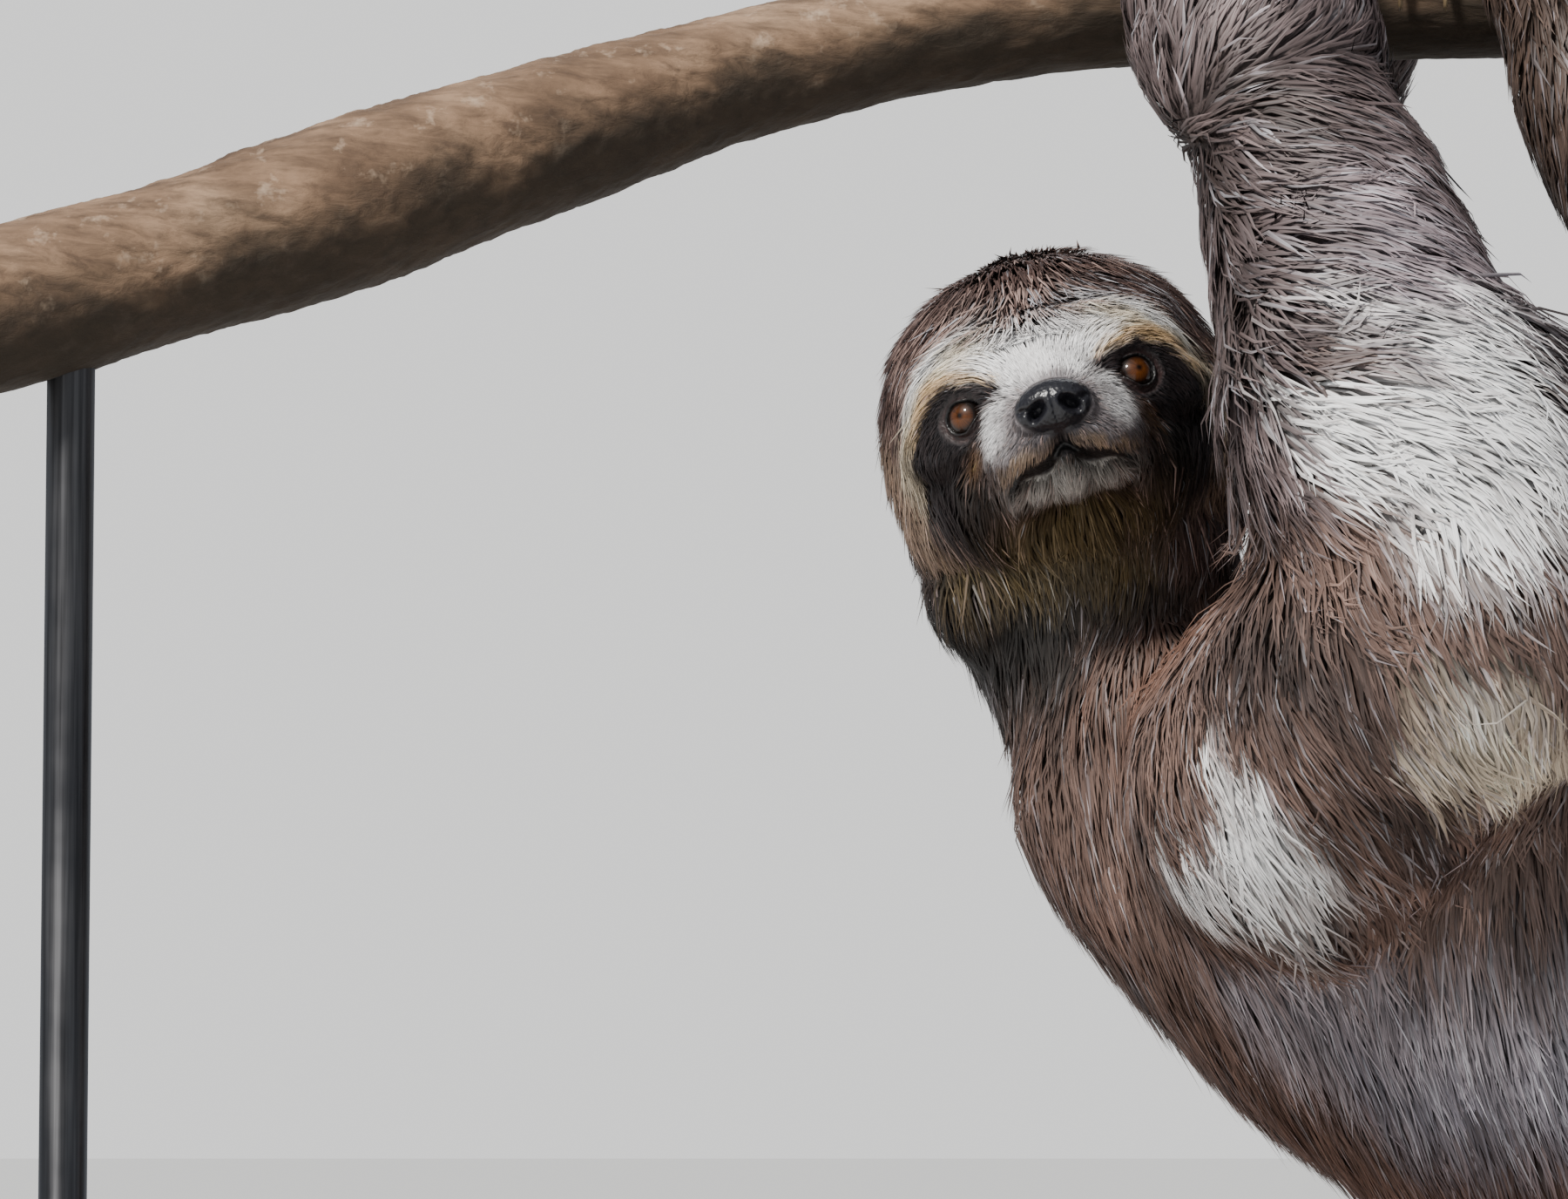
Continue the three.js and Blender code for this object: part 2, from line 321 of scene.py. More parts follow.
def head_angles(points):
    """Azimuth and elevation in degrees of points seen from the head's middle."""
    local = (points - np.array(HEAD_AT)) @ np.array(HEAD_TURN)
    azimuth = np.degrees(np.arctan2(local[:, 0], -local[:, 1]))
    elevation = np.degrees(np.arctan2(local[:, 2], np.hypot(local[:, 0], local[:, 1])))
    return azimuth, elevation


def head_ways(azimuth, elevation):
    """Unit vectors in the head's own frame."""
    a, e = np.radians(azimuth), np.radians(elevation)
    return np.stack([np.cos(e) * np.sin(a), -np.cos(e) * np.cos(a), np.sin(e)], axis=-1)


def head_to_world(local):
    """Places in the head's own frame, in millimetres, as places in the CAD frame."""
    return np.array(HEAD_AT) + (local * MM) @ np.array(HEAD_TURN).T


def patch(azimuth, elevation, at, half, lean=0, soft=0.3):
    """1 inside a soft oval that lies on both sides of the face, 0 outside."""
    across, up = np.abs(azimuth) - at[0], elevation - at[1]
    turn = math.radians(lean)
    u = across * math.cos(turn) + up * math.sin(turn)
    v = up * math.cos(turn) - across * math.sin(turn)
    return 1 - step(np.hypot(u / half[0], v / half[1]), 1 - soft, 1 + soft)


def coat_reach(azimuth, elevation):
    """Millimetres from the head's middle to the tips of its coat."""
    ways = head_ways(azimuth, elevation)
    ball = 1 / np.linalg.norm(ways / np.array(HEAD_HALF), axis=-1)
    width = mix(15, 27, step(-elevation, 12, 36))
    muzzle = 16.5 * hump(azimuth / width, 1, 3) * hump(elevation + 26, 19, 3)
    brow = 2 * hump(np.abs(azimuth) - 24, 11) * hump(elevation - 3, 11)
    socket = 3.4 * hump(np.abs(azimuth) - EYE_AZIMUTH, 8) * hump(elevation - EYE_ELEVATION, 8)
    crown = 3 * step(elevation, 10, 42)
    ruff = 8 * hump(np.abs(azimuth) - 106, 27) * hump(elevation + 36, 16)
    return ball + muzzle + brow + crown + ruff - socket


# The head's coat by place: middle and half size of an oval in degrees, depth, length and width of a
# lock in millimetres, and locks to a square centimetre.
HEAD_COAT = [
    ((0, -62), (70, 20), 8.0, 16, 0.6, 75),
    ((62, -15), (16, 30), 8.0, 17, 0.6, 80),
    ((110, -52), (52, 22), 9.0, 25, 0.8, 60),
    ((0, 20), (34, 12), 6.5, 13, 0.55, 105),
    ((0, 3), (50, 10), 3.4, 8, 0.38, 190),
    ((0, -10), (15, 9), 1.8, 4.2, 0.28, 300),
    ((37, -12), (24, 11), 2.2, 6, 0.32, 190),
    ((0, -25), (31, 12), 1.3, 2.8, 0.23, 340),
    ((0, -41), (27, 6), 2.6, 5.0, 0.28, 280),
    ((EYE_AZIMUTH, EYE_ELEVATION), (12, 11), 1.1, 2.4, 0.22, 280),
]


def head_coat(azimuth, elevation):
    """Depth, length, width and count of the coat's locks on the head."""
    values = np.tile(np.array(COAT["head"][:4], dtype=float), (len(azimuth), 1))
    for at, half, *there in HEAD_COAT:
        values = mix(values, np.array(there, dtype=float), patch(azimuth, elevation, at, half)[:, None])
    return values


def ball_reach(ways, middle, half):
    """How far along each way the far side of an ellipsoid is, and 0 where the way misses it."""
    w, m = ways / half, np.asarray(middle) / half
    a = (w * w).sum(-1)
    b = w @ m
    inside = b * b - a * (m @ m - 1)
    return np.where(inside > 0, (b + np.sqrt(np.maximum(inside, 0))) / a, 0)


def soft_max(a, b, blend):
    """The larger of two values, rounded over where they are within a blend of each other."""
    share = np.clip(0.5 + (a - b) / (2 * blend), 0, 1)
    return b + (a - b) * share + blend * share * (1 - share)


def eye_frame(side):
    """The eye's middle, its way out, and the ways outward and up along the lids, for side -1 or 1."""
    out = head_ways(np.array([side * EYE_AZIMUTH]), np.array([EYE_ELEVATION]))[0]
    across = unit(np.cross(out, (0, 0, 1))) * -side
    up = np.cross(across, out) * -side
    return out * EYE_DEPTH, out, across * np.sign(across[0] * side), up * np.sign(up[2])


def lid_places(ways, side):
    """How far outward and up, in millimetres, a way passes the middle of an eye's opening."""
    _, out, across, up = eye_frame(side)
    front = (EYE_DEPTH + 4.6) / np.maximum(ways @ out, 0.2)
    return (ways @ across) * front, (ways @ up) * front


def lid_edge(across, up):
    """Distance from the eye's middle over that of the edge of its opening."""
    up = up - 0.12 * np.maximum(-across, 0)
    reach_in = np.where(across < 0, 5.9, 4.5)
    reach_up = np.where(up > 0, 3.95, 4.1)
    pinch = 1 + 0.3 * (across < 0) * np.abs(across) / 5.4
    return np.hypot(across / reach_in, up / reach_up * pinch)


def lip_line(side):
    """Height of the upper lip's edge, in millimetres, by how far it is from the middle of the face."""
    return -34.3 + 3.0 * hump(side, 3.4) + 0.11 * np.maximum(side - 14.5, 0) ** 2


def skin_reach(azimuth, elevation):
    """Millimetres from the head's middle to its skin, with the nose, mouth and eyelids."""
    ways = head_ways(azimuth, elevation)
    reach = coat_reach(azimuth, elevation) - head_coat(azimuth, elevation)[:, 0]
    place = ways * reach[:, None]
    side, z = np.abs(place[:, 0]), place[:, 2]
    front = step(-place[:, 1], 20, 40)

    below, along = lip_line(side) - z, 1 - step(side, 18, 25)
    open_lip = 1 - step(side, 3, 12)
    upper_lip = 1.4 * hump(below + 2.6, 2.4) * along
    gap_at, gap_width = mix(0.5, 1.6, open_lip), mix(0.9, 1.9, open_lip)
    groove = mix(1.2, 3.2, open_lip) * hump(below - gap_at, gap_width, 3) * along
    set_back = 2.0 * step(below, 0, 1.6) * (1 - step(below, 7, 13)) * (1 - step(side, 14, 26))
    chin = 1.6 * hump(below - 6.0, 2.8) * (1 - step(side, 8, 18))
    philtrum = 0.6 * hump(side, 0.7) * hump(z + 29.5, 2.0)
    cheek_fold = 0.7 * hump(side - 19.5 + 0.4 * (z + 24), 1.6) * hump(z + 26, 6)
    reach = reach + front * (upper_lip - groove - set_back + chin - philtrum - cheek_fold)

    nose = ball_reach(ways, NOSE_AT, NOSE_HALF)
    wings = ball_reach(ways, (6.2, -57, -24.6), (4.6, 5.6, 4.6))
    wings = np.maximum(wings, ball_reach(ways, (-6.2, -57, -24.6), (4.6, 5.6, 4.6)))
    reach = soft_max(soft_max(nose, wings, 1.0), reach, 0.9)
    place = ways * reach[:, None]
    side, z = np.abs(place[:, 0]), place[:, 2]
    hole = 4.6 * hump(np.hypot((side - 4.5) / 2.35, (z + 26.2 + 0.2 * (side - 4.5)) / 1.75), 1, 3.5)
    slit = 1.5 * hump((side - 7.4) / 2.2, 1, 3) * hump(z + 26.3 - 0.5 * (side - 5), 0.8)
    parting = 0.5 * hump(side, 0.6) * hump(z + 27, 4)
    reach = reach - front * (hole + slit + parting)

    for eye in (-1, 1):
        middle = eye_frame(eye)[0]
        across, up = lid_places(ways, eye)
        far = np.hypot(across, up)
        edge = lid_edge(across, up)
        lid = ball_reach(ways, middle, np.full(3, 6.4))
        edge = edge + 0.07 * waves(ways, 0.13, 8)
        creases = 0.5 * hump(edge - 1.5, 0.05) + 0.45 * hump(edge - 1.95, 0.06)
        creases += 0.25 * hump(edge - 1.27, 0.03)
        creases *= 0.55 + 0.5 * waves(ways, 0.11, 9)
        edge = lid_edge(across, up)
        lid = lid - creases + 0.3 * hump(edge - 1.12, 0.08) + 0.5 * hump(edge - 1.74, 0.16)
        near = (1 - step(far, 8.5, 11)) * (ways @ unit(middle) > 0.8)
        lidded = soft_max(lid, reach - 0.45 * hump(edge - 1.95, 0.06), 0.8)
        lidded = mix(EYE_DEPTH + 1.6, lidded, step(edge, 0.8, 1.12))
        reach = mix(reach, lidded, near)
    return reach


# ---------------------------------------------------------------- the skin


def body_skin():
    """The flesh below the head as one smooth form, inset by the coat's depth."""
    mesh = mesh_of(swollen_copy(BODY_NODES, 0.4 * MM), "body")
    mesh = with_modifiers(
        mesh,
        ("REMESH", {"mode": "VOXEL", "voxel_size": BODY_VOXEL}),
        ("SMOOTH", {"factor": 0.5, "iterations": 16}),
    )
    points = points_of(mesh)
    depths = np.array([COAT[part_of(node)][0] for node in BODY_NODES]) * MM
    depth = spread(depths[nearest_nodes(points, BODY_NODES)], edges_of(mesh), 10)
    for at, reach, more in FULLER:
        far = np.linalg.norm(points / MM - np.array(at), axis=1)
        depth -= more * MM * (1 - step(far, 0, reach))
    set_points(mesh, points - normals_of(mesh) * depth[:, None])
    return mesh


def part_of(node):
    """A node's name without its side."""
    return node.removesuffix("_right").removesuffix("_left")


def head_skin():
    """The head as a ball pushed out to the skin's reach, and the bridge that joins it to the neck."""
    bm = bmesh.new()
    bmesh.ops.create_icosphere(bm, subdivisions=6, radius=1)
    ways = np.array([v.co for v in bm.verts])
    azimuth = np.degrees(np.arctan2(ways[:, 0], -ways[:, 1]))
    elevation = np.degrees(np.arcsin(np.clip(ways[:, 2], -1, 1)))
    reach = coat_reach(azimuth, elevation) - head_coat(azimuth, elevation)[:, 0]
    for vert, place in zip(bm.verts, head_to_world(ways * reach[:, None])):
        vert.co = place
    nape = Vector(NAPE_END) * MM
    balls = [(HEAD_AT.lerp(nape, share), 35 - 8 * share) for share in np.linspace(0.2, 1, 7)]
    balls += [(Vector(at) * MM, radius) for at, radius in CHEEKS]
    for at, radius in balls:
        bmesh.ops.create_icosphere(bm, subdivisions=3, radius=radius * MM, matrix=Matrix.Translation(at))
    return mesh_of(bm, "head")


def neck_share(points):
    """1 on the neck's side of the head, 0 on the face and crown."""
    local = unit((points - np.array(HEAD_AT)) @ np.array(HEAD_TURN))
    angle = np.degrees(np.arccos(np.clip(local @ unit(np.array(TO_NECK)), -1, 1)))
    return 1 - step(angle, 48, 68)


def refine(bm, wanted):
    """Splits each edge whose ends are both wanted."""
    edges = [e for e in bm.edges if wanted[e.verts[0].index] and wanted[e.verts[1].index]]
    bmesh.ops.subdivide_edges(bm, edges=edges, cuts=1, use_grid_fill=True)
    bm.verts.index_update()


def face_regions(points):
    """The head's own part of the skin, the face, and the face's fine features, which are split finer."""
    azimuth, elevation = head_angles(points)
    far = np.linalg.norm(points - np.array(HEAD_AT), axis=1)
    near = (far < 75 * MM) & (neck_share(points) < 0.5)
    ways = head_ways(azimuth, elevation)
    eyes = [
        np.hypot(*lid_places(ways, side)) + 99 * (ways @ eye_frame(side)[1] < 0.8) for side in (-1, 1)
    ]
    face = near & (np.abs(azimuth) < FACE_HALF) & (elevation > -56) & (elevation < FACE_TOP)
    fine = face & ((np.minimum(*eyes) < 9) | ((np.abs(azimuth) < 22) & (elevation > -42) & (elevation < -13)))
    return near, face, fine


def on_head(points):
    """How far each point of the skin belongs to the head's own form."""
    far = np.linalg.norm(points - np.array(HEAD_AT), axis=1) / MM
    beyond = far - coat_reach(*head_angles(points))
    return (1 - neck_share(points)) * (1 - step(beyond, 6, 12))


def skin_mesh():
    """Body and head made one closed skin, then split finer and shaped over the face."""
    bm = bmesh.new()
    for part in (body_skin(), head_skin()):
        bm.from_mesh(part)
        bpy.data.meshes.remove(part)
    mesh = with_modifiers(
        mesh_of(bm, "skin"),
        ("REMESH", {"mode": "VOXEL", "voxel_size": SKIN_VOXEL}),
        ("SMOOTH", {"factor": 0.5, "iterations": 4}),
    )
    for level in (1, 2):
        bm = bmesh.new()
        bm.from_mesh(mesh)
        refine(bm, face_regions(points_of(mesh))[level])
        bm.to_mesh(mesh)
        bm.free()
        shape_head(mesh)
    bm = bmesh.new()
    bm.from_mesh(mesh)
    refine(bm, face_regions(points_of(mesh))[2])
    bmesh.ops.triangulate(bm, faces=bm.faces)
    bm.to_mesh(mesh)
    bm.free()
    shape_head(mesh)
    mesh.polygons.foreach_set("use_smooth", [True] * len(mesh.polygons))
    return mesh


def shape_head(mesh):
    """Moves the head's points out or in to the face's finished form."""
    points = points_of(mesh)
    share = on_head(points)
    held = share > 0
    azimuth, elevation = head_angles(points[held])
    finished = head_to_world(head_ways(azimuth, elevation) * skin_reach(azimuth, elevation)[:, None])
    points[held] = mix(points[held], finished, share[held][:, None])
    set_points(mesh, points)


# ---------------------------------------------------------------- markings


def tint_property(name, description, *levels):
    """A colour that a user can change, from its red, green and blue on a display."""
    return FloatVectorProperty(
        name=name, description=description, subtype="COLOR", size=3, min=0, max=1, default=colour(*levels)
    )


class SLOTH_PG_head_tints(bpy.types.PropertyGroup):
    """Colours of the head"""

    crown: tint_property("Crown", "Cap of dark hair over the head", 62, 46, 42)
    crown_tip: tint_property("Crown tips", "Pale tips among the crown's hair", 196, 166, 156)
    white: tint_property("Forehead", "White band over the nose and brows", 250, 248, 248)
    cream: tint_property("Brow edge", "Cream edge of the white band", 214, 200, 176)
    tan: tint_property("Brow", "Tan hair over each eye", 192, 162, 122)
    mask: tint_property("Mask", "Black stripe through each eye", 26, 23, 26)
    lid: tint_property("Eyelids", "Bare skin round the eyes", 46, 29, 28)
    leather: tint_property("Nose", "Bare leather of the nose", 27, 27, 32)
    muzzle: tint_property("Muzzle", "Grey hair round the nose", 136, 130, 132)
    # Partly dark hair and partly painted shade under the nose.
    under_nose: tint_property("Under the nose", "Dark hair between nose and lip", 56, 53, 56)
    rust: tint_property("Rust", "Patch at the mask's lower inner corner", 100, 72, 48)
    lip: tint_property("Lips", "Between the lips and along the eyelids' rims", 14, 12, 13)
    lip_hair: tint_property("Lip hair", "Bristles along the upper lip", 158, 136, 114)
    chin: tint_property("Chin", "Pale tips of the chin's hair", 176, 172, 166)
    throat: tint_property("Throat", "Olive-brown hair under the chin", 70, 58, 34)
    dark: tint_property("Jaw", "Dark hair under the jaw", 30, 25, 21)
    cheek: tint_property("Cheek", "Brown hair beside the mask", 124, 104, 88)
    olive_tip: tint_property("Throat tips", "Golden tips among the throat's hair", 146, 130, 74)
    iris: tint_property("Iris", "Lightest part of the iris", 84, 45, 13)


class SLOTH_PG_body_tints(bpy.types.PropertyGroup):
    """Colours of the body"""

    brown: tint_property("Body", "Trunk and upper arms", 90, 70, 61)
    arm: tint_property("Forearm", "Lilac-brown forearms and hands", 80, 68, 67)
    hind: tint_property("Thigh", "Thighs", 84, 65, 55)
    # Partly the legs' own darker hair and partly painted shade: shins and feet are laid darker than the
    # thighs as if in shade.
    shin: tint_property("Shin", "Shins and feet", 66, 51, 42)
    # Partly the neck's own dark hair and partly painted shade: the neck is laid near black as if in the
    # head's shadow.
    neck: tint_property("Neck", "Dark neck", 24, 21, 16)
    warm: tint_property("Shoulder edge", "Reddish hair over the shoulder", 98, 70, 57)
    pale: tint_property("White marks", "White patches on arms and shoulder", 248, 245, 244)
    beige: tint_property("Beige mark", "Beige inner elbow", 206, 192, 170)
    # Painted shade: a dark tint laid in the folds and on the shaded side of the forearm.
    shade: tint_property("Folds", "Dark hair in the folds", 46, 35, 30)
    flank: tint_property("Flank", "Grey flank", 116, 108, 112)
    steel: tint_property("Lower flank", "Bluish lower flank", 92, 90, 98)
    # Painted sheen: a pale lilac tint where light glints on the outside of the forearm.
    lilac: tint_property("Arm sheen", "Pale lilac outside of the forearm", 146, 133, 139)
    # Painted sheen: the bluish-white and silver-lilac tips below stand for light glinting on the hair.
    frost: tint_property("Frost", "Bluish-white tips", 214, 214, 222)
    silver: tint_property("Silver", "Silver-lilac tips", 214, 204, 212)


class SLOTH_PG_coat(bpy.types.PropertyGroup):
    """How full the coat is"""

    density: FloatProperty(
        name="Density",
        description="Share of the locks that grow",
        subtype="FACTOR",
        min=0.1,
        max=1,
        default=1,
    )
    length: FloatProperty(
        name="Length",
        description="Length of the locks over their usual length",
        subtype="FACTOR",
        min=0.5,
        max=1.2,
        default=1,
    )
    unruly: FloatProperty(
        name="Unruly",
        description="How far locks stray from the lie of the coat",
        subtype="FACTOR",
        min=0,
        max=2,
        default=1,
    )


class SLOTH_PG_sizes(bpy.types.PropertyGroup):
    """Sizes of the eyes, claws and stand"""

    eye: FloatProperty(
        name="Eye radius",
        description="Radius of each eyeball",
        unit="LENGTH",
        precision=4,
        default=5.7 * MM,
    )
    claw_pitch: FloatProperty(
        name="Claw pitch",
        description="From one claw's middle to the next",
        unit="LENGTH",
        precision=4,
        default=12 * MM,
    )
    claw_depth: FloatProperty(
        name="Claw depth",
        description="Half a claw's depth at its root",
        unit="LENGTH",
        precision=4,
        default=4.3 * MM,
    )
    board_corner: FloatProperty(
        name="Board corners",
        description="Radius of the board's corners",
        unit="LENGTH",
        precision=4,
        default=45 * MM,
    )
    board_edge: FloatProperty(
        name="Board edges",
        description="Rounding of the board's edges",
        unit="LENGTH",
        precision=4,
        default=3 * MM,
    )


class SLOTH_PG_stage(bpy.types.PropertyGroup):
    """Light and floor of the stage"""

    key: FloatProperty(name="Key light", description="Strength of the key light", min=0, max=20, default=5.4)
    softness: FloatProperty(
        name="Key softness",
        description="Angle that the key light seems to have",
        subtype="ANGLE",
        min=0,
        max=1,
        default=math.radians(9),
    )
    rim_size: FloatProperty(
        name="Rim light size",
        description="Width of the light behind",
        unit="LENGTH",
        min=0.1,
        max=4,
        default=1.2,
    )
    floor: FloatVectorProperty(
        name="Floor",
        description="Pale floor",
        subtype="COLOR",
        size=3,
        min=0,
        max=1,
        default=(0.66, 0.66, 0.65),
    )


def paint(name):
    """The tint of the head or body with a name."""
    scene = bpy.context.scene
    group = scene.sloth_head if name in SLOTH_PG_head_tints.__annotations__ else scene.sloth_body
    return np.array(getattr(group, name))


# Lines across one side of the face, as azimuths and the elevations there.
HAIRLINE = [
    (0, 5), (8, 6), (18, 9), (30, 13), (40, 15), (48, 13),
    (55, 8), (61, 1), (69, -6), (80, -12), (95, -22),
]
TAN_LINE = [(13, -8), (20, -2), (28, 3), (37, 6), (46, 4), (54, -4), (62, -11)]
MASK_TOP = [
    (11, -11), (15, -8), (20, -5), (26, -2), (33, -0.5), (39, -0.5),
    (46, -3.5), (53, -9), (60, -15), (71, -21), (84, -26),
]
MASK_FOOT = [
    (11, -11), (15, -14.5), (20, -17.5), (26, -21), (33, -23.5),
    (40, -26), (50, -29), (60, -42), (84, -50),
]

# Bands of colour between two lines, painted in this order, with the softness of their edges and the
# azimuths between which they run.
PALE_BANDS = [("cream", HAIRLINE, [(0, -12), (35, -2), (60, -22), (95, -40)], 1.6, (-1, 92))]
MASK_BANDS = [
    ("tan", TAN_LINE, MASK_TOP, 1.8, (14, 58)),
    ("mask", MASK_TOP, MASK_FOOT, 1.2, (10.5, 80)),
]

# Ovals of colour on the head, painted in this order: middle and half size in degrees, lean, softness.
GROUND_MARKS = [
    ("dark", (56, -40), (26, 20), -10, 0.4),
    ("throat", (0, -66), (86, 20), 0, 0.35),
    # Painted shade with the neck's own dark hair, on the head's underside towards the neck.
    ("neck", (0, -90), (180, 12), 0, 0.4),
]
BROW_MARKS = [
    ("cheek", (84, -24), (13, 30), 0, 0.5),
    ("white", (0, -1), (27, 10), 0, 0.4),
    ("white", (36, 11.5), (20, 3.4), -14, 0.6),
]
FACE_MARKS = [
    ("white", (0, -11), (12.5, 7), 0, 0.25),
    ("white", (17, -19), (6.5, 5.5), -20, 0.5),
    ("muzzle", (0, -26), (25, 9), 0, 0.35),
    ("muzzle", (0, -21), (12.5, 9), 0, 0.3),
    ("white", (20.5, -23.5), (5, 4.5), -30, 0.9),
    # Partly dark hair and partly painted shade under the nose.
    ("under_nose", (0, -29.4), (13, 4.6), 0, 0.6),
    ("rust", (34, -27), (5, 4), -20, 0.8),
    ("lip_hair", (13, -32.6), (11, 1.2), -8, 0.8),
    ("dark", (0, -36.2), (22, 2.8), 0, 0.4),
    ("chin", (0, -41), (25, 4.6), 0, 0.5),
]


def between(azimuth, elevation, top, foot, soft, ends):
    """1 between two lines of the face, on both sides of it, 0 outside."""
    side = np.abs(azimuth)
    high = np.interp(side, *zip(*top))
    low = np.interp(side, *zip(*foot))
    inside = step(elevation, low - soft, low + soft) * (1 - step(elevation, high - soft, high + soft))
    return inside * step(side, ends[0] - 0.8, ends[0] + 0.8) * (1 - step(side, ends[1] - 8, ends[1]))


def head_marks(points):
    """The head's colours at points, with uneven edges."""
    azimuth, elevation = head_angles(points)
    azimuth = azimuth + 1.3 * waves(points, 9 * MM, 3) + 0.5 * waves(points, 3.5 * MM, 5)
    elevation = elevation + 1.0 * waves(points, 8 * MM, 4) + 0.5 * waves(points, 3.5 * MM, 6)
    tint = np.tile(paint("crown"), (len(points), 1))
    layers = [
        (GROUND_MARKS, patch),
        (PALE_BANDS, between),
        (BROW_MARKS, patch),
        (MASK_BANDS, between),
        (FACE_MARKS, patch),
    ]
    for marks, share in layers:
        for name, *form in marks:
            tint = mix(tint, paint(name), share(azimuth, elevation, *form)[:, None])
    return tint


PART_TINT = {
    "neck": "neck",
    "trunk": "brown",
    "tail": "brown",
    "upper_arm": "brown",
    "forearm": "arm",
    "hand": "arm",
    "thigh": "hind",
    "shin": "shin",
    "foot": "shin",
    "head": "crown",
    "nose": "leather",
}

# Soft strokes of colour on the body, painted in this order: two ends and half width in millimetres.
BODY_MARKS = [
    # Painted shade with the neck's own dark hair, under the head and along the neck's near side.
    ("neck", (-66, 4, 318), (-60, 10, 296), 32, 0.3),
    ("throat", (-96, -14, 328), (-38, -34, 328), 13, 0.5),
    ("crown", (-72, 48, 330), (-50, 52, 296), 32, 0.4),
    ("brown", (-86, -4, 274), (-66, -14, 250), 22, 0.5),
    ("brown", (-58, -40, 284), (-30, -52, 300), 16, 0.4),
    ("neck", (-92, 0, 303), (-70, -22, 304), 12, 0.4),
    ("neck", (-70, -24, 308), (-34, -34, 317), 7, 0.5),
    ("warm", (-51, -28, 298), (-34, -56, 310), 15, 0.6),
    ("flank", (-16, -40, 208), (58, -70, 204), 15, 0.6),
    ("steel", (14, -46, 186), (70, -66, 180), 16, 0.6),
    ("steel", (80, -66, 200), (150, -62, 214), 26, 0.6),
    # Painted sheen on the outside of the forearm.
    ("lilac", (16, -118, 420), (36, -124, 386), 22, 0.9),
    # Painted shade along the forearm's upper side and at the elbow.
    ("shade", (-46, -56, 436), (-34, -78, 420), 11, 0.8),
    ("shade", (-36, -76, 446), (-2, -90, 438), 9, 0.8),
    ("shade", (-34, -88, 400), (-26, -104, 368), 8, 0.9),
    ("shade", (-28, -96, 300), (-4, -122, 288), 12, 0.9),
    ("pale", (-17, -108, 394), (-13, -120, 376), 4, 0.9),
    ("pale", (-5, -118, 386), (4, -125, 377), 5, 0.9),
    ("pale", (34, -124, 380), (60, -106, 386), 13, 0.6),
    ("pale", (27, -126, 374), (52, -122, 366), 10, 0.6),
    ("pale", (-15, -121, 359), (2, -134, 352), 6, 0.7),
    ("pale", (4, -134, 350), (52, -130, 352), 14, 0.4),
    ("pale", (22, -142, 332), (52, -136, 336), 16, 0.35),
    ("pale", (20, -143, 316), (34, -144, 322), 8, 0.4),
    ("brown", (-9, -124, 372), (12, -135, 361), 6, 0.7),
    ("brown", (16, -144, 299), (54, -142, 304), 11, 0.6),
    ("beige", (20, -136, 277), (54, -134, 277), 11, 0.6),
    ("beige", (26, -122, 266), (54, -112, 264), 13, 0.5),
    ("pale", (28, -136, 280), (38, -136, 280), 6, 0.9),
    # Painted shade in the crease below the elbow and along the flank's fold.
    ("shade", (2, -117, 262), (13, -106, 253), 7, 0.6),
    ("shade", (13, -106, 253), (30, -86, 242), 10, 0.6),
    ("shade", (30, -86, 242), (64, -78, 240), 9, 0.6),
    ("shade", (-2, -78, 226), (56, -76, 231), 8, 0.7),
    ("pale", (-35, -93, 276), (-29, -94, 256), 6, 0.6),
    ("pale", (-24, -94, 254), (-22, -80, 238), 12.5, 0.35),
    ("pale", (-10, -92, 244), (-8, -82, 234), 8, 0.4),
    ("pale", (-40, -60, 240), (-30, -76, 238), 7, 0.5),
    ("pale", (34, 134, 356), (50, 132, 326), 24, 0.5),
    ("beige", (54, 124, 290), (66, 118, 272), 20, 0.5),
    ("pale", (120, 116, 252), (180, 112, 248), 26, 0.6),
]


def stroke_share(places, start, end, reach, soft):
    """1 within a soft stroke between two places, 0 outside it."""
    start, line = np.array(start, dtype=float), np.subtract(end, start).astype(float)
    along = np.clip(((places - start) @ line) / (line @ line), 0, 1)
    far = np.linalg.norm(places - start - along[:, None] * line, axis=1) / reach
    return 1 - step(far, 1 - soft, 1 + soft)


def body_marks(points, tint):
    """Paints the body's marks over each part's own colour."""
    wobble = np.stack([waves(points, 16 * MM, seed) for seed in (11, 12, 13)], axis=-1) * 3.5
    places = points / MM + wobble
    for name, start, end, reach, soft in BODY_MARKS:
        tint = mix(tint, paint(name), stroke_share(places, start, end, reach, soft)[:, None])
    return tint


# ---------------------------------------------------------------- the lie of the coat


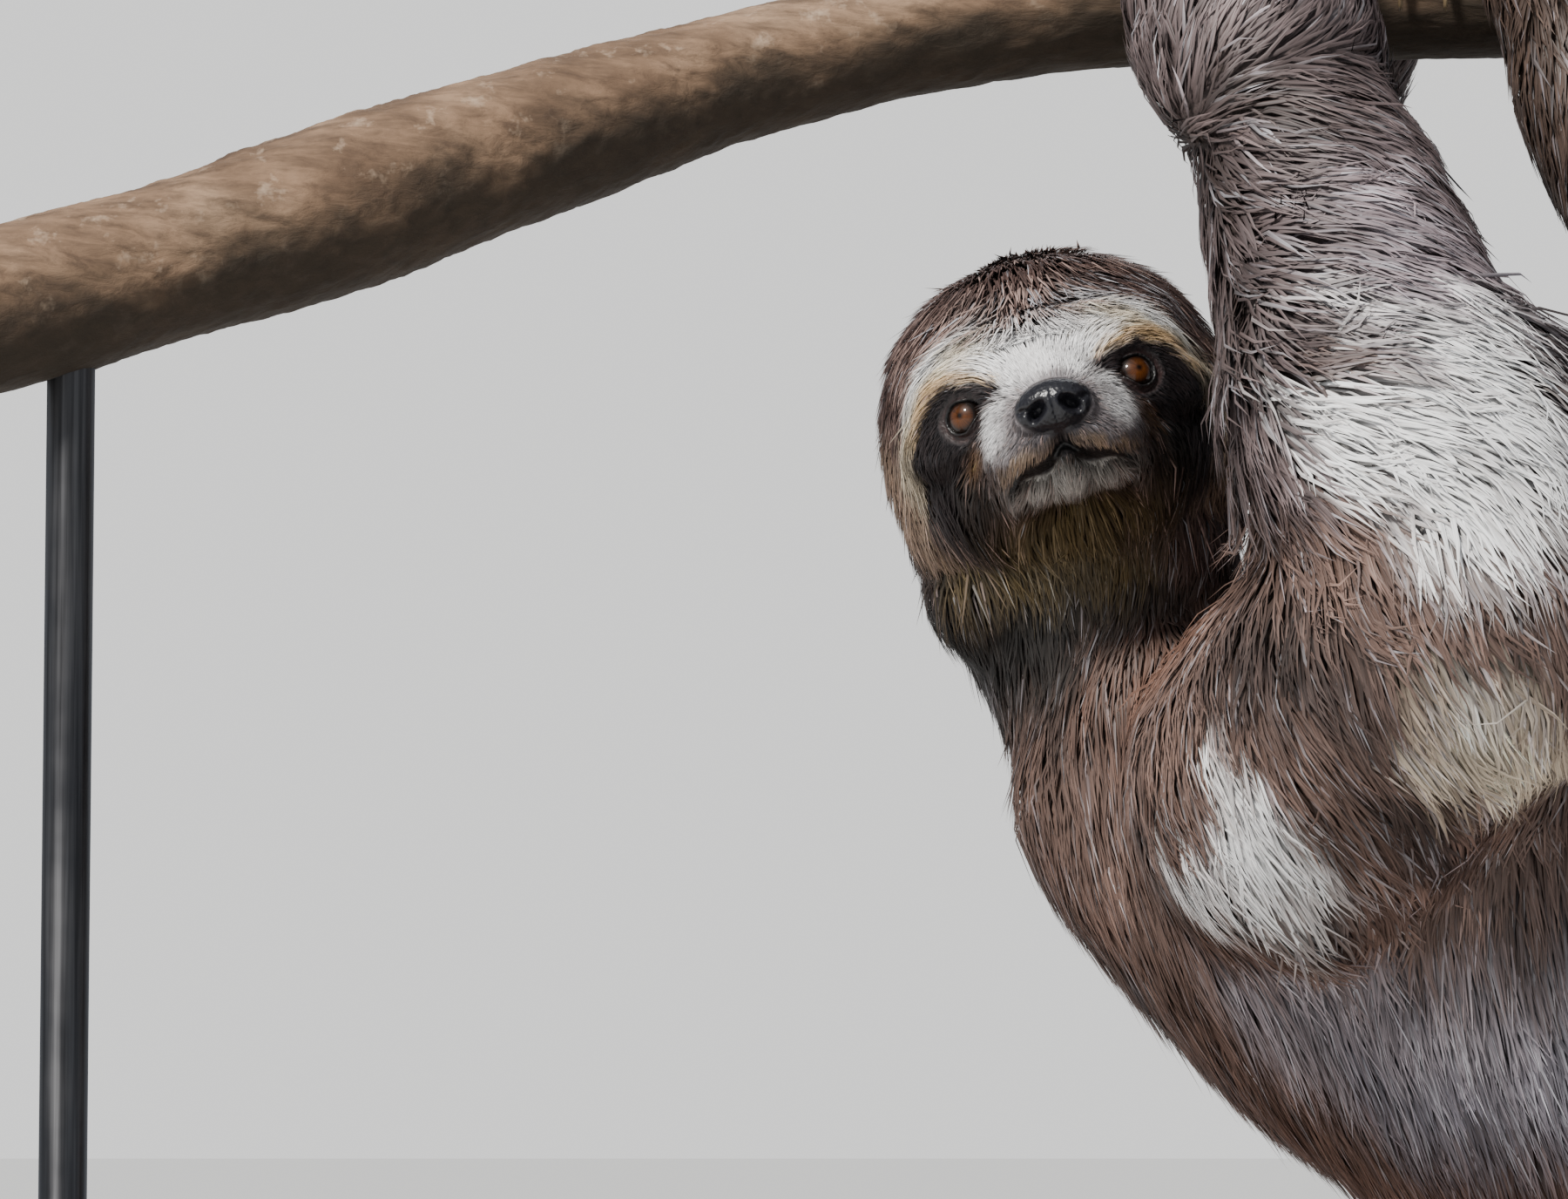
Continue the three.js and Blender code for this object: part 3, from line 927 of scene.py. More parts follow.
# Guides for the head's coat: azimuth and elevation in degrees, and the way that the hair runs there,
# outward and up along the head. They count for both sides.
HEAD_GUIDES = [
    ((0, -13), (0, 1)),
    ((7, -3), (0.45, 0.9)),
    ((0, 0), (0, 1)),
    ((14, -14), (0.5, 0.6)),
    ((20, 2), (0.9, 0.45)),
    ((34, 5), (1, 0)),
    ((38, 12), (1, -0.2)),
    ((48, -2), (0.7, -0.8)),
    ((58, -15), (0.15, -1)),
    ((62, -35), (-0.1, -1)),
    ((0, 10), (0, -1)),
    ((0, 22), (0, -1)),
    ((14, 15), (0.5, -0.85)),
    ((14, 26), (0.7, -0.7)),
    ((32, 18), (0.85, -0.5)),
    ((50, 12), (0.7, -0.8)),
    ((70, 0), (0.2, -1)),
    ((90, -10), (0, -1)),
    ((120, 0), (0.1, -1)),
    ((12, -21), (1, -0.1)),
    ((12, -29), (0.7, -0.7)),
    ((24, -27), (0.9, -0.6)),
    ((2, -30), (0.3, -1)),
    ((0, -38), (0, -1)),
    ((14, -38), (0.4, -1)),
    ((28, -37), (0.8, -0.8)),
    ((0, -60), (0, -1)),
    ((40, -60), (0, -1)),
    ((30, -20), (1, -0.5)),
    ((45, -17), (0.8, -0.8)),
    ((40, -38), (0.5, -0.9)),
    ((30, -3), (0.9, 0.3)),
    ((0, 34), (0, -1)),
    ((0, 48), (0, -1)),
    ((30, 36), (0.6, -0.8)),
    ((60, 34), (0.45, -0.9)),
    ((0, 66), (0, -1)),
    ((60, 60), (0.4, -0.8)),
    ((110, 50), (0.1, -1)),
    ((150, 60), (0, -1)),
    ((180, 60), (0, -1)),
    ((180, 20), (0, -1)),
    ((150, 20), (0, -1)),
]


def head_flow(points):
    """The way that the head's hair runs at points, in the frame's axes."""
    ways = head_ways(*head_angles(points))
    flow = np.zeros_like(ways)
    for (azimuth, elevation), (outward, up) in HEAD_GUIDES:
        for side in (-1, 1):
            a, e = math.radians(side * azimuth), math.radians(elevation)
            at = np.array((math.cos(e) * math.sin(a), -math.cos(e) * math.cos(a), math.sin(e)))
            east = np.array((math.cos(a), math.sin(a), 0))
            north = np.array((-math.sin(e) * math.sin(a), math.sin(e) * math.cos(a), math.cos(e)))
            near = np.clip(ways @ at, -1, 1) - 1
            close = np.exp(near / 0.018) + 0.02 * np.exp(near / 0.2)
            flow += close[:, None] * (side * outward * east + up * north)
    to_neck = unit(np.array(TO_NECK))
    flow = mix(unit(flow), to_neck, step(ways @ to_neck, 0.25, 0.7)[:, None])
    return unit(flow) @ np.array(HEAD_TURN).T


def lie_of_coat(mesh, owners):
    """A unit way for the hair at each of the skin's points, and how much it parts ways there."""
    points, normals, edges = points_of(mesh), normals_of(mesh), edges_of(mesh)
    guides = np.array([COAT[part_of(node)][4] for node in FLESH_NODES], dtype=float)
    flow = unit(guides)[owners]
    flow = spread(flow, edges, 12)
    head = on_head(points)
    held = head > 0
    flow[held] = mix(unit(flow[held]), head_flow(points[held]), head[held][:, None])
    flow -= normals * (flow * normals).sum(-1, keepdims=True)
    flow = spread(unit(flow), edges, 3)
    flow -= normals * (flow * normals).sum(-1, keepdims=True)
    flow = unit(flow)
    return flow, step(1 - np.linalg.norm(spread(flow, edges, 8), axis=1), 0.12, 0.6)


# ---------------------------------------------------------------- the coat's locks


class Skin:
    """The skin's points with what the coat needs to know at each, and a tree to find the nearest."""

    def __init__(self, mesh):
        self.points, self.normals = points_of(mesh), normals_of(mesh)
        self.faces = triangles_of(mesh)
        self.edges = edges_of(mesh)
        self.owners = nearest_nodes(self.points, FLESH_NODES)
        self.flow, self.whorl = lie_of_coat(mesh, self.owners)
        self.head = on_head(self.points)
        self.coat = self.coat_sizes()
        self.tint = self.marks()
        self.bare = self.bare_share()
        self.tree = BVHTree.FromPolygons(self.points.tolist(), self.faces.tolist())

    def coat_sizes(self):
        """Depth, length, width and count of the coat's locks at each point."""
        by_part = np.array([COAT[part_of(node)][:4] for node in FLESH_NODES], dtype=float)
        sizes = spread(by_part[self.owners], self.edges, 6)
        rear = step(self.points[:, 0], COARSE_FROM, COARSE_TO) * (self.owners == FLESH_NODES.index("trunk"))
        sizes *= np.stack([np.ones_like(rear), 1 + 0.15 * rear, 1 + 0.5 * rear, 1 - 0.55 * rear], axis=-1)
        held = self.head > 0
        there = head_coat(*head_angles(self.points[held]))
        sizes[held] = mix(sizes[held], there, self.head[held][:, None])
        return sizes

    def marks(self):
        """The coat's colour at each point."""
        by_part = np.array([paint(PART_TINT[part_of(node)]) for node in FLESH_NODES])
        tint = body_marks(self.points, spread(by_part[self.owners], self.edges, 8))
        held = self.head > 0
        share = step(self.head[held], 0.3, 0.8)[:, None]
        tint[held] = mix(tint[held], head_marks(self.points[held]), share)
        return tint

    def bare_share(self):
        """1 where no hair grows: the nose, the eyelids and between the lips."""
        bare = np.zeros(len(self.points))
        held = self.head > 0.5
        azimuth, elevation = head_angles(self.points[held])
        ways = head_ways(azimuth, elevation)
        value = nose_share(azimuth, elevation)
        for side in (-1, 1):
            near = ways @ eye_frame(side)[1] > 0.9
            lids = 1 - step(lid_edge(*lid_places(ways, side)), 1.45, 1.9)
            value = np.where(near, np.maximum(value, lids), value)
        bare[held] = np.maximum(value, mouth_share(azimuth, elevation))
        return bare

    def at(self, values, faces, corners):
        """Values of the skin's points at places inside its faces."""
        return (values[self.faces[faces]] * corners[..., None]).sum(axis=1)


def nose_share(azimuth, elevation):
    """1 on the nose's leather, 0 on the hair round it."""
    oval = np.hypot(azimuth / 9.6, (elevation + 21.3) / 6.6)
    return 1 - step(oval, 0.92, 1.08)


def mouth_share(azimuth, elevation):
    """1 in the dark between the lips, 0 on the hair round them."""
    place = head_ways(azimuth, elevation) * coat_reach(azimuth, elevation)[:, None]
    side, z = np.abs(place[:, 0]), place[:, 2]
    deep = mix(1.1, 3.3, 1 - step(side, 5, 17))
    below = lip_line(side) - z
    inside = step(below, -0.3, 0.2) * (1 - step(below, deep, deep + 0.6))
    return inside * (1 - step(side, 20, 24)) * (place[:, 1] < -30)


def roots_of(skin, grows, random, share):
    """Picks roots where the coat grows, by its count: faces, and weights of each face's corners."""
    a, b, c = (skin.points[skin.faces[:, i]] for i in range(3))
    area = np.linalg.norm(np.cross(b - a, c - a), axis=1) / 2 * 1e4
    count = skin.coat[:, 3] * (1 - skin.bare) * (1 + skin.whorl)
    here = grows[skin.faces[:, 0]]
    total = np.cumsum(area * here * count[skin.faces].mean(axis=1) * share)
    many = int(total[-1])
    picks = (np.arange(many) + random.random(many)) * total[-1] / many
    faces = np.minimum(np.searchsorted(total, picks), len(total) - 1)
    u, v = np.sqrt(random.random(many)), random.random(many)
    return faces, np.stack([1 - u, u * (1 - v), u * v], axis=-1)


def turned(ways, axes, angles):
    """Ways turned about unit axes that they stand square to, by angles in radians."""
    return ways * np.cos(angles)[:, None] + np.cross(axes, ways) * np.sin(angles)[:, None]


def walk(skin, places, ways, reach, bend):
    """One step of each lock over the skin: its next foot, the skin's point there, and its way on."""
    feet = np.empty_like(places)
    corner = np.empty(len(places), dtype=np.int64)
    for i, goal in enumerate(places + ways * reach[:, None]):
        foot, _, face, _ = skin.tree.find_nearest(goal)
        feet[i], corner[i] = foot, skin.faces[face][0]
    normals = skin.normals[corner]
    ahead = unit(mix(ways, skin.flow[corner], 0.5))
    ahead = unit(ahead - normals * (ahead * normals).sum(-1, keepdims=True))
    return feet, corner, turned(ahead, normals, bend)


# Where a lock has its rings and its tip, from its root, with its lift there and its girth at each ring.
LONG_LOCK = ((0.0, 0.36, 0.72, 1.0), (-0.12, 0.55, 0.88, 1.0), (0.72, 1.0, 0.7))
SHORT_LOCK = ((0.0, 0.5, 1.0), (-0.12, 0.72, 1.0), (0.8, 1.0))


def loft_at(points):
    """How much further out and longer the coat is at points: 0 where it is as usual."""
    loft = np.zeros(len(points))
    for at, reach, more in LOFTS:
        far = np.linalg.norm(points / MM - np.array(at), axis=1)
        loft = np.maximum(loft, more * (1 - step(far, 0.3 * reach, reach)))
    return loft


class Locks:
    """A patch of the coat: for each lock, its rings' places, normals and sides, its root and its tint.

    The form is where a lock's rings are, mess is how unruly the locks lie, and share is how many grow.
    """

    def __init__(self, skin, grows, form, mess, share, seed):
        self.stops, self.lifts, self.girth = (np.array(v) for v in form)
        random = np.random.default_rng(seed)
        faces, corners = roots_of(skin, grows, random, share)
        self.many = len(faces)
        sizes = skin.at(skin.coat, faces, corners)
        self.head = skin.at(skin.head[:, None], faces, corners)[:, 0]
        self.root = skin.at(skin.points, faces, corners)
        self.root_normal = unit(skin.at(skin.normals, faces, corners))
        self.guide = self.guides(random)
        loft, whorl = loft_at(self.root), skin.at(skin.whorl[:, None], faces, corners)[:, 0]
        height = random.uniform(0.55, 1.0, self.many)
        self.depth = sizes[:, 0] * MM * mix(height, height[self.guide], 0.6) * (1 + loft)
        self.length = sizes[:, 1] * MM * random.uniform(0.75, 1.15, self.many)
        self.length *= 1 + 0.5 * loft
        self.length *= 1 - 0.5 * whorl
        self.length *= bpy.context.scene.sloth_coat.length
        self.width = sizes[:, 2] * MM * random.uniform(0.6, 1.25, self.many)
        self.trace(skin, faces, corners, mess * (1 + 0.4 * loft) + 1.5 * whorl, loft, random)
        self.gather(0.6 * mess, random)
        self.tint = self.tints(skin, random)

    def guides(self, random):
        """For each lock the one that its clump gathers to: the nearest of every twelfth or so."""
        leads = np.flatnonzero(random.random(self.many) < 1 / 12)
        tree = KDTree(len(leads))
        for lead in leads:
            tree.insert(self.root[lead], int(lead))
        tree.balance()
        return np.array([tree.find(place)[1] for place in self.root])

    def trace(self, skin, faces, corners, mess, loft, random):
        """Lays each lock along the skin, lifted more and more to the coat's depth."""
        clump = waves(self.root, 30 * MM, 21) * 0.26 + waves(self.root, 12 * MM, 22) * 0.16
        stray = random.normal(0, 0.13, self.many)
        ways = unit(skin.at(skin.flow, faces, corners))
        ways = turned(ways, self.root_normal, (clump + stray) * mess)
        curl = random.normal(0, 0.2, self.many) * np.minimum(mess, 1.5)
        wild = random.random(self.many) < 0.03 * mess + 0.02 * loft
        curl = np.where(wild, curl * 2.5, curl)
        proud = np.where(wild, 1.5, 1.0) + 0.55 * loft * random.random(self.many)
        feet, corner = self.root, skin.faces[faces][:, 0]
        normals = self.root_normal
        spine, sides, outs, self.under = [], [], [], []
        for stop, (at, lift) in enumerate(zip(self.stops, self.lifts)):
            if stop:
                stride = self.length * (at - self.stops[stop - 1])
                feet, corner, ways = walk(skin, feet, ways, stride, curl)
                normals = skin.normals[corner]
            place = feet + normals * (self.depth * lift * mix(1, proud, at))[:, None]
            place[:, 2] -= step(-normals[:, 2], 0.3, 1.0) * at**2 * self.depth * 0.6
            spine.append(place)
            outs.append(normals)
            sides.append(np.cross(normals, ways))
            self.under.append(corner)
        self.spine, self.outs, self.sides = (np.stack(v, axis=1) for v in (spine, outs, sides))

    def gather(self, pull, random):
        """Draws the tips of each clump's locks together, as damp or oily hair lies."""
        close = self.head * 0.6
        pulls = pull * (1 - close) * random.uniform(0.5, 1.0, self.many)
        near = 1 - step(np.linalg.norm(self.root - self.root[self.guide], axis=1), 5 * MM, 9 * MM)
        share = (pulls * near)[:, None] * self.stops[None] ** 1.4
        self.spine = mix(self.spine, self.spine[self.guide], share[..., None])

    def tints(self, skin, random):
        """Each lock's colours at its rings and tip: dark at the root; some tips are pale hair, and others
        carry a painted sheen, bluish-white or silver-lilac, that stands for light glinting on the hair.
        """
        body = 1 - self.head
        along = np.interp(0.66, self.stops, np.arange(len(self.stops)))
        tint = mix(skin.tint[self.under[int(along)]], skin.tint[self.under[int(along) + 1]], along % 1)
        tone = random.normal(0, 1, self.many)
        clumped = (0.06 + 0.16 * body) * tone[self.guide]
        tone = np.exp(0.13 * tone + clumped + 0.12 * waves(self.root, 14 * MM, 31))
        light = tint.mean(axis=1)
        tip = tint * (1.12 + 0.3 * random.random(self.many) + 0.25 * body)[:, None]
        azimuth, elevation = head_angles(self.root)
        fringe = self.head * (1 - step(np.hypot((azimuth + 14) / 44, (elevation - 24) / 19), 0.6, 1.2))
        # Painted sheen: on this patch of the crown, more tips take the bluish-white glint.
        crown_sheen_streaks = self.head * (1 - step(np.hypot((azimuth - 32) / 36, (elevation - 27) / 12), 0.5, 1.2))
        chin = self.head * patch(azimuth, elevation, (0, -40), (28, 7), 0, 0.3)
        olive = step(tint[:, 1] - tint[:, 2], 0.012, 0.035) * (light < 0.1)
        often = mix(mix(0.12, 0.38, step(light, 0.07, 0.13)), 0.16, self.head)
        often = np.maximum(often, np.maximum(0.7 * fringe, 0.4 * crown_sheen_streaks)) * (light < 0.4) * (light > 0.012)
        # Some tips turn pale: to the crown's and throat's own pale hair, and to a painted bluish-white or
        # silver-lilac sheen.
        sheen_and_pale_tipped = random.random(self.many) < np.maximum(often, 0.3 * olive)
        strong = random.uniform(0.25, 0.75, self.many) * mix(0.8, 1.1, self.head) + 0.1 * fringe
        frost = np.where(sheen_and_pale_tipped, strong, 0.04)
        cool = random.random(self.many) < np.maximum(mix(0.6, 0.1, self.head), 0.8 * crown_sheen_streaks)
        warm = mix(paint("silver"), paint("crown_tip"), self.head[:, None])
        other = np.where(cool[:, None], paint("frost"), warm)
        other = mix(other, paint("olive_tip"), olive[:, None])
        tip = mix(tip, other * mix(0.75, 1, self.head)[:, None], frost[:, None])
        girthed = np.concatenate([np.repeat(self.stops[:-1], 3), [1.0]])
        fade = step(girthed, 0.1, 0.95)[None, :, None]
        root = mix(mix(0.72, 0.7, body), 0.12, chin)
        colours = mix((tint * root[:, None])[:, None], tip[:, None], fade) * tone[:, None, None]
        return np.clip(colours, 0.004, 0.94)

    def mesh(self, name):
        """One mesh of the locks: each a closed, three-sided, tapered and flattened tube."""
        rings = len(self.girth)
        half = self.width[:, None] / 2 * self.girth
        verts = np.empty((self.many, rings * 3 + 1, 3))
        for corner, (across, out) in enumerate(((-1, -0.2), (1, -0.2), (0, 0.36))):
            offset = self.sides[:, :rings] * (half * across)[..., None]
            offset += self.outs[:, :rings] * (half * out)[..., None]
            verts[:, corner : rings * 3 : 3] = self.spine[:, :rings] + offset
        verts[:, -1] = self.spine[:, -1]
        faces = [(0, 2, 1)]
        for low in range(0, rings * 3 - 3, 3):
            for corner in range(3):
                after = (corner + 1) % 3
                faces.append((low + corner, low + after, low + after + 3))
                faces.append((low + corner, low + after + 3, low + corner + 3))
        last, tip = rings * 3 - 3, rings * 3
        faces += [(last, last + 1, tip), (last + 1, last + 2, tip), (last + 2, last, tip)]
        first = np.arange(self.many) * (rings * 3 + 1)
        loops = (np.array(faces)[None] + first[:, None, None]).reshape(-1)

        mesh = bpy.data.meshes.new(name)
        mesh.vertices.add(self.many * (rings * 3 + 1))
        mesh.loops.add(len(loops))
        mesh.polygons.add(len(loops) // 3)
        mesh.polygons.foreach_set("loop_start", np.arange(0, len(loops), 3))
        mesh.vertices.foreach_set("co", verts.ravel())
        mesh.loops.foreach_set("vertex_index", loops)
        mesh.polygons.foreach_set("use_smooth", np.ones(len(loops) // 3, dtype=bool))
        mesh.update(calc_edges=True)
        mesh.normals_split_custom_set_from_vertices(self.soft_normals().reshape(-1, 3))
        set_colours(mesh, "tint", self.tint.reshape(-1, 3))
        self.add_map(mesh, "OFBake", self.bake_places(), loops)
        self.add_map(mesh, "strand", self.strand_places(), loops)
        return mesh

    def soft_normals(self):
        """Normals that let a lock shade with the coat about it more than as a tube of its own."""
        rings = len(self.girth)
        normals = np.repeat(self.outs, 3, axis=1)[:, : rings * 3 + 1].copy()
        for corner, across in enumerate((-1, 1, 0)):
            normals[:, corner : rings * 3 : 3] += self.sides[:, :rings] * across * 0.5
        return unit(normals)

    def add_map(self, mesh, name, places, loops):
        """Gives the mesh a UV map from a place for each point of each lock."""
        layer = mesh.uv_layers.new(name=name)
        layer.data.foreach_set("uv", places.reshape(-1, 2)[loops].astype(np.float32).ravel())

    def bake_places(self):
        """Gives each lock a small patch at its root's place on an unwrap of the skin's shape in six sides."""
        facing = np.argmax(np.abs(self.root_normal), axis=1)
        each = np.arange(self.many)
        chart = facing * 2 + (self.root_normal[each, facing] > 0)
        low, high = self.root.min(axis=0), self.root.max(axis=0)
        spans = (self.root - low) / np.max(high - low)
        flat = np.stack([spans[each, (facing + 1) % 3], spans[each, (facing + 2) % 3]], axis=-1)
        at = (0.02 + 0.96 * flat + np.stack([chart % 3, chart // 3], axis=-1)) / np.array((3, 2))
        patch_of_lock = np.empty((len(self.girth) * 3 + 1, 2))
        for vert in range(len(patch_of_lock)):
            ring, corner = divmod(vert, 3)
            along = (self.stops[ring] - 0.5) * BAKE_PATCH + (corner == 1) * 0.0004
            patch_of_lock[vert] = (corner - 1) * 0.0011, along
        patch_of_lock[-1] = 0.0002, 0.0016
        return at[:, None] + patch_of_lock[None]

    def strand_places(self):
        """Millimetres across each lock and along it, with every lock on a place of its own."""
        verts = len(self.girth) * 3 + 1
        across = np.tile([0, 1, 0.5], len(self.girth) + 1)[:verts]
        across[-1] = 0.5
        along = np.concatenate([np.repeat(self.stops[:-1], 3), [1.0]])
        each = np.arange(self.many)
        u = across[None] * self.width[:, None] / MM + (each * 7.31 % 97)[:, None]
        v = along[None] * self.length[:, None] / MM + (each * 3.77 % 89)[:, None]
        return np.stack([u, v], axis=-1)


# ---------------------------------------------------------------- finishes


def finish(name):
    """A new material with its Principled shader, and a maker of joined nodes in it."""
    material = bpy.data.materials.new(name)
    material.use_nodes = True
    tree = material.node_tree
    shader = tree.nodes["Principled BSDF"]
    return material, shader, Wiring(tree)


class Wiring:
    """Adds nodes to a tree and joins them up."""

    def __init__(self, tree):
        self.tree = tree

    def add(self, kind, inputs=None, **settings):
        """A new node with its settings, its inputs joined to sockets or set to values."""
        node = self.tree.nodes.new(kind)
        for key, value in settings.items():
            setattr(node, key, value)
        for key, value in (inputs or {}).items():
            if isinstance(value, bpy.types.NodeSocket):
                self.tree.links.new(value, node.inputs[key])
            else:
                node.inputs[key].default_value = value
        return node

    def place(self, scale=(1, 1, 1), turn=(0, 0, 0)):
        """Object coordinates, scaled and turned."""
        at = self.add("ShaderNodeTexCoord").outputs["Object"]
        return self.add("ShaderNodeMapping", {"Vector": at, "Scale": scale, "Rotation": turn}).outputs[0]

    def noise(self, place, scale, detail=3, rough=0.55, warp=0):
        """Soft noise from 0 to 1."""
        inputs = {"Vector": place, "Scale": scale, "Detail": detail, "Roughness": rough, "Distortion": warp}
        return self.add("ShaderNodeTexNoise", inputs).outputs["Fac"]

    def ramp(self, value, stops):
        """A colour for each height of a value: stops are pairs of place and colour."""
        node = self.add("ShaderNodeValToRGB", {"Fac": value})
        while len(node.color_ramp.elements) < len(stops):
            node.color_ramp.elements.new(0.5)
        for element, (at, tint) in zip(node.color_ramp.elements, stops):
            element.position = at
            element.color = (*tint, 1)
        return node.outputs["Color"]

    def shades(self, value, *stops):
        """A ramp of display colours: each stop is its place, red, green and blue."""
        return self.ramp(value, [(at, colour(*levels)) for at, *levels in stops])

    def span(self, value, low, high, to_low=0.0, to_high=1.0):
        """A value brought from one span to another."""
        inputs = {"Value": value, "From Min": low, "From Max": high, "To Min": to_low, "To Max": to_high}
        return self.add("ShaderNodeMapRange", inputs).outputs["Result"]

    def blend(self, share, a, b):
        """From colour a, at a share of 0, to colour b, at 1."""
        node = self.add("ShaderNodeMix", data_type="RGBA")
        for socket, value in zip((node.inputs[0], node.inputs[6], node.inputs[7]), (share, a, b)):
            if isinstance(value, bpy.types.NodeSocket):
                self.tree.links.new(value, socket)
            else:
                socket.default_value = value if isinstance(value, float) else (*value, 1)
        return node.outputs[2]

    def scaled(self, tint, tone):
        """A colour made lighter or darker by a value."""
        node = self.add("ShaderNodeVectorMath", {0: tint}, operation="SCALE")
        self.tree.links.new(tone, node.inputs["Scale"])
        return node.outputs[0]

    def scaled_value(self, value, by):
        """The product of two values."""
        return self.add("ShaderNodeMath", {0: value, 1: by}, operation="MULTIPLY").outputs[0]

    def bump(self, shader, height, strength, distance):
        """Gives the shader a fine relief from a height."""
        inputs = {"Height": height, "Strength": strength, "Distance": distance}
        self.tree.links.new(self.add("ShaderNodeBump", inputs).outputs[0], shader.inputs["Normal"])

    def uneven(self, tint, place, scale, dark, light):
        """A tint made darker and lighter by fine noise, and the noise's height, from the shared group."""
        node = self.add("ShaderNodeGroup", node_tree=uneven_tone())
        values = {"Tint": tint, "Place": place, "Scale": scale, "Dark": dark, "Light": light}
        for key, value in values.items():
            if isinstance(value, bpy.types.NodeSocket):
                self.tree.links.new(value, node.inputs[key])
            else:
                node.inputs[key].default_value = value
        return node.outputs["Tint"], node.outputs["Height"]

    def join(self, source, shader, name):
        """Feeds one of the shader's sockets."""
        self.tree.links.new(source, shader.inputs[name])

    def attribute(self, name, output="Color"):
        """What the mesh holds at each point under a name."""
        return self.add("ShaderNodeAttribute", attribute_name=name).outputs[output]


def uneven_tone():
    """The node group that gives strands, pores and spokes their uneven tone, made once."""
    name = "uneven tone"
    if name in bpy.data.node_groups:
        return bpy.data.node_groups[name]
    tree = bpy.data.node_groups.new(name, "ShaderNodeTree")
    given = {"Tint": "Color", "Place": "Vector", "Scale": "Float", "Dark": "Float", "Light": "Float"}
    for socket, kind in given.items():
        tree.interface.new_socket(name=socket, in_out="INPUT", socket_type=f"NodeSocket{kind}")
    for socket, kind in {"Tint": "Color", "Height": "Float"}.items():
        tree.interface.new_socket(name=socket, in_out="OUTPUT", socket_type=f"NodeSocket{kind}")
    wires = Wiring(tree)
    given, made = wires.add("NodeGroupInput").outputs, wires.add("NodeGroupOutput").inputs
    height = wires.noise(given["Place"], given["Scale"], 3, 0.6)
    tone = wires.span(height, 0.32, 0.68, given["Dark"], given["Light"])
    tree.links.new(wires.scaled(given["Tint"], tone), made["Tint"])
    tree.links.new(height, made["Height"])
    return tree


def skin_finish():
    """The hide under the coat, and the bare leather of the nose and lids."""
    material, shader, wires = finish("skin")
    tint, height = wires.uneven(wires.attribute("tint"), wires.place(), 1100, 0.72, 1.25)
    wires.join(tint, shader, "Base Color")
    wires.join(wires.attribute("rough", "Fac"), shader, "Roughness")
    pores = wires.add("ShaderNodeTexVoronoi", {"Vector": wires.place(), "Scale": 900}).outputs["Distance"]
    wires.bump(shader, wires.blend(0.45, pores, height), 0.55, 0.0005)
    return material


def coat_finish():
    """Hair: each lock's own tint, split into fine strands along it."""
    material, shader, wires = finish("coat")
    place = wires.add("ShaderNodeUVMap", uv_map="strand").outputs[0]
    drawn = wires.add("ShaderNodeMapping", {"Vector": place, "Scale": (2.4, 0.06, 1)}).outputs[0]
    tint, strands = wires.uneven(wires.attribute("tint"), drawn, 1.0, 0.6, 1.35)
    wires.join(tint, shader, "Base Color")
    wires.bump(shader, strands, 0.5, 0.00015)
    shader.inputs["Roughness"].default_value = 0.5
    shader.inputs["Specular IOR Level"].default_value = 0.3
    return material


# ---------------------------------------------------------------- eyes, claws, branch and stand


def eye_mesh(side):
    """An eyeball that looks out between the lids, with a map of its iris in millimetres."""
    middle, out, _, _ = eye_frame(side)
    bm = bmesh.new()
    bmesh.ops.create_uvsphere(bm, u_segments=48, v_segments=32, radius=bpy.context.scene.sloth_sizes.eye)
    gaze = (HEAD_TURN @ Vector(out + np.array((-0.10 * side, 0, 0.03)))).normalized()
    bmesh.ops.rotate(bm, verts=bm.verts, matrix=gaze.to_track_quat("Z", "Y").to_matrix())
    layer = bm.loops.layers.uv.new("iris")
    right = gaze.cross((0, 0, 1)).normalized()
    top = right.cross(gaze)
    for face in bm.faces:
        for loop in face.loops:
            co = loop.vert.co / MM
            front = 1 if co.dot(gaze) > 0 else 3
            loop[layer].uv = (co.dot(right) * front, co.dot(top) * front)
    bmesh.ops.translate(bm, verts=bm.verts, vec=Vector(head_to_world(middle)))
    return mesh_of(bm, "eye")


# How light the eye is from the pupil's middle, at 0, out past the iris's rim, at 1.
IRIS_SHARES = [
    (0.0, 0.03), (0.1, 0.04), (0.14, 0.35), (0.3, 1.0),
    (0.6, 0.8), (0.77, 0.3), (0.82, 0.06), (1.0, 0.08),
]


def eye_finish():
    """Amber iris with fine spokes, a dark rim and a small pupil, under a wet gloss, with a painted shadow of
    the upper lid that darkens its top.
    """
    material, shader, wires = finish("eye")
    place = wires.add("ShaderNodeUVMap", uv_map="iris").outputs[0]
    far = wires.add("ShaderNodeVectorMath", {0: place}, operation="LENGTH").outputs["Value"]
    ring = wires.add("ShaderNodeVectorMath", {0: place}, operation="NORMALIZE").outputs[0]
    clouds = wires.noise(place, 1.1, 3)
    iris = bpy.context.scene.sloth_head.iris
    stops = [(at, [c * share for c in iris]) for at, share in IRIS_SHARES]
    base = wires.ramp(wires.span(far, 0, 4.4), stops)
    shaded, _ = wires.uneven(base, ring, 9.0, 0.6, 1.4)
    mottled = wires.blend(wires.span(clouds, 0.45, 0.7, 0.0, 0.4), shaded, colour(40, 17, 8))
    # Painted shadow of the upper lid: the iris grows darker towards its top.
    height = wires.add("ShaderNodeSeparateXYZ", {0: place}).outputs["Y"]
    wires.join(wires.scaled(mottled, wires.span(height, -0.5, 3.2, 1.0, 0.35)), shader, "Base Color")
    shader.inputs["Roughness"].default_value = 0.45
    shader.inputs["Specular IOR Level"].default_value = 0.15
    shader.inputs["Coat Weight"].default_value = 0.6
    shader.inputs["Coat Roughness"].default_value = 0.02
    return material


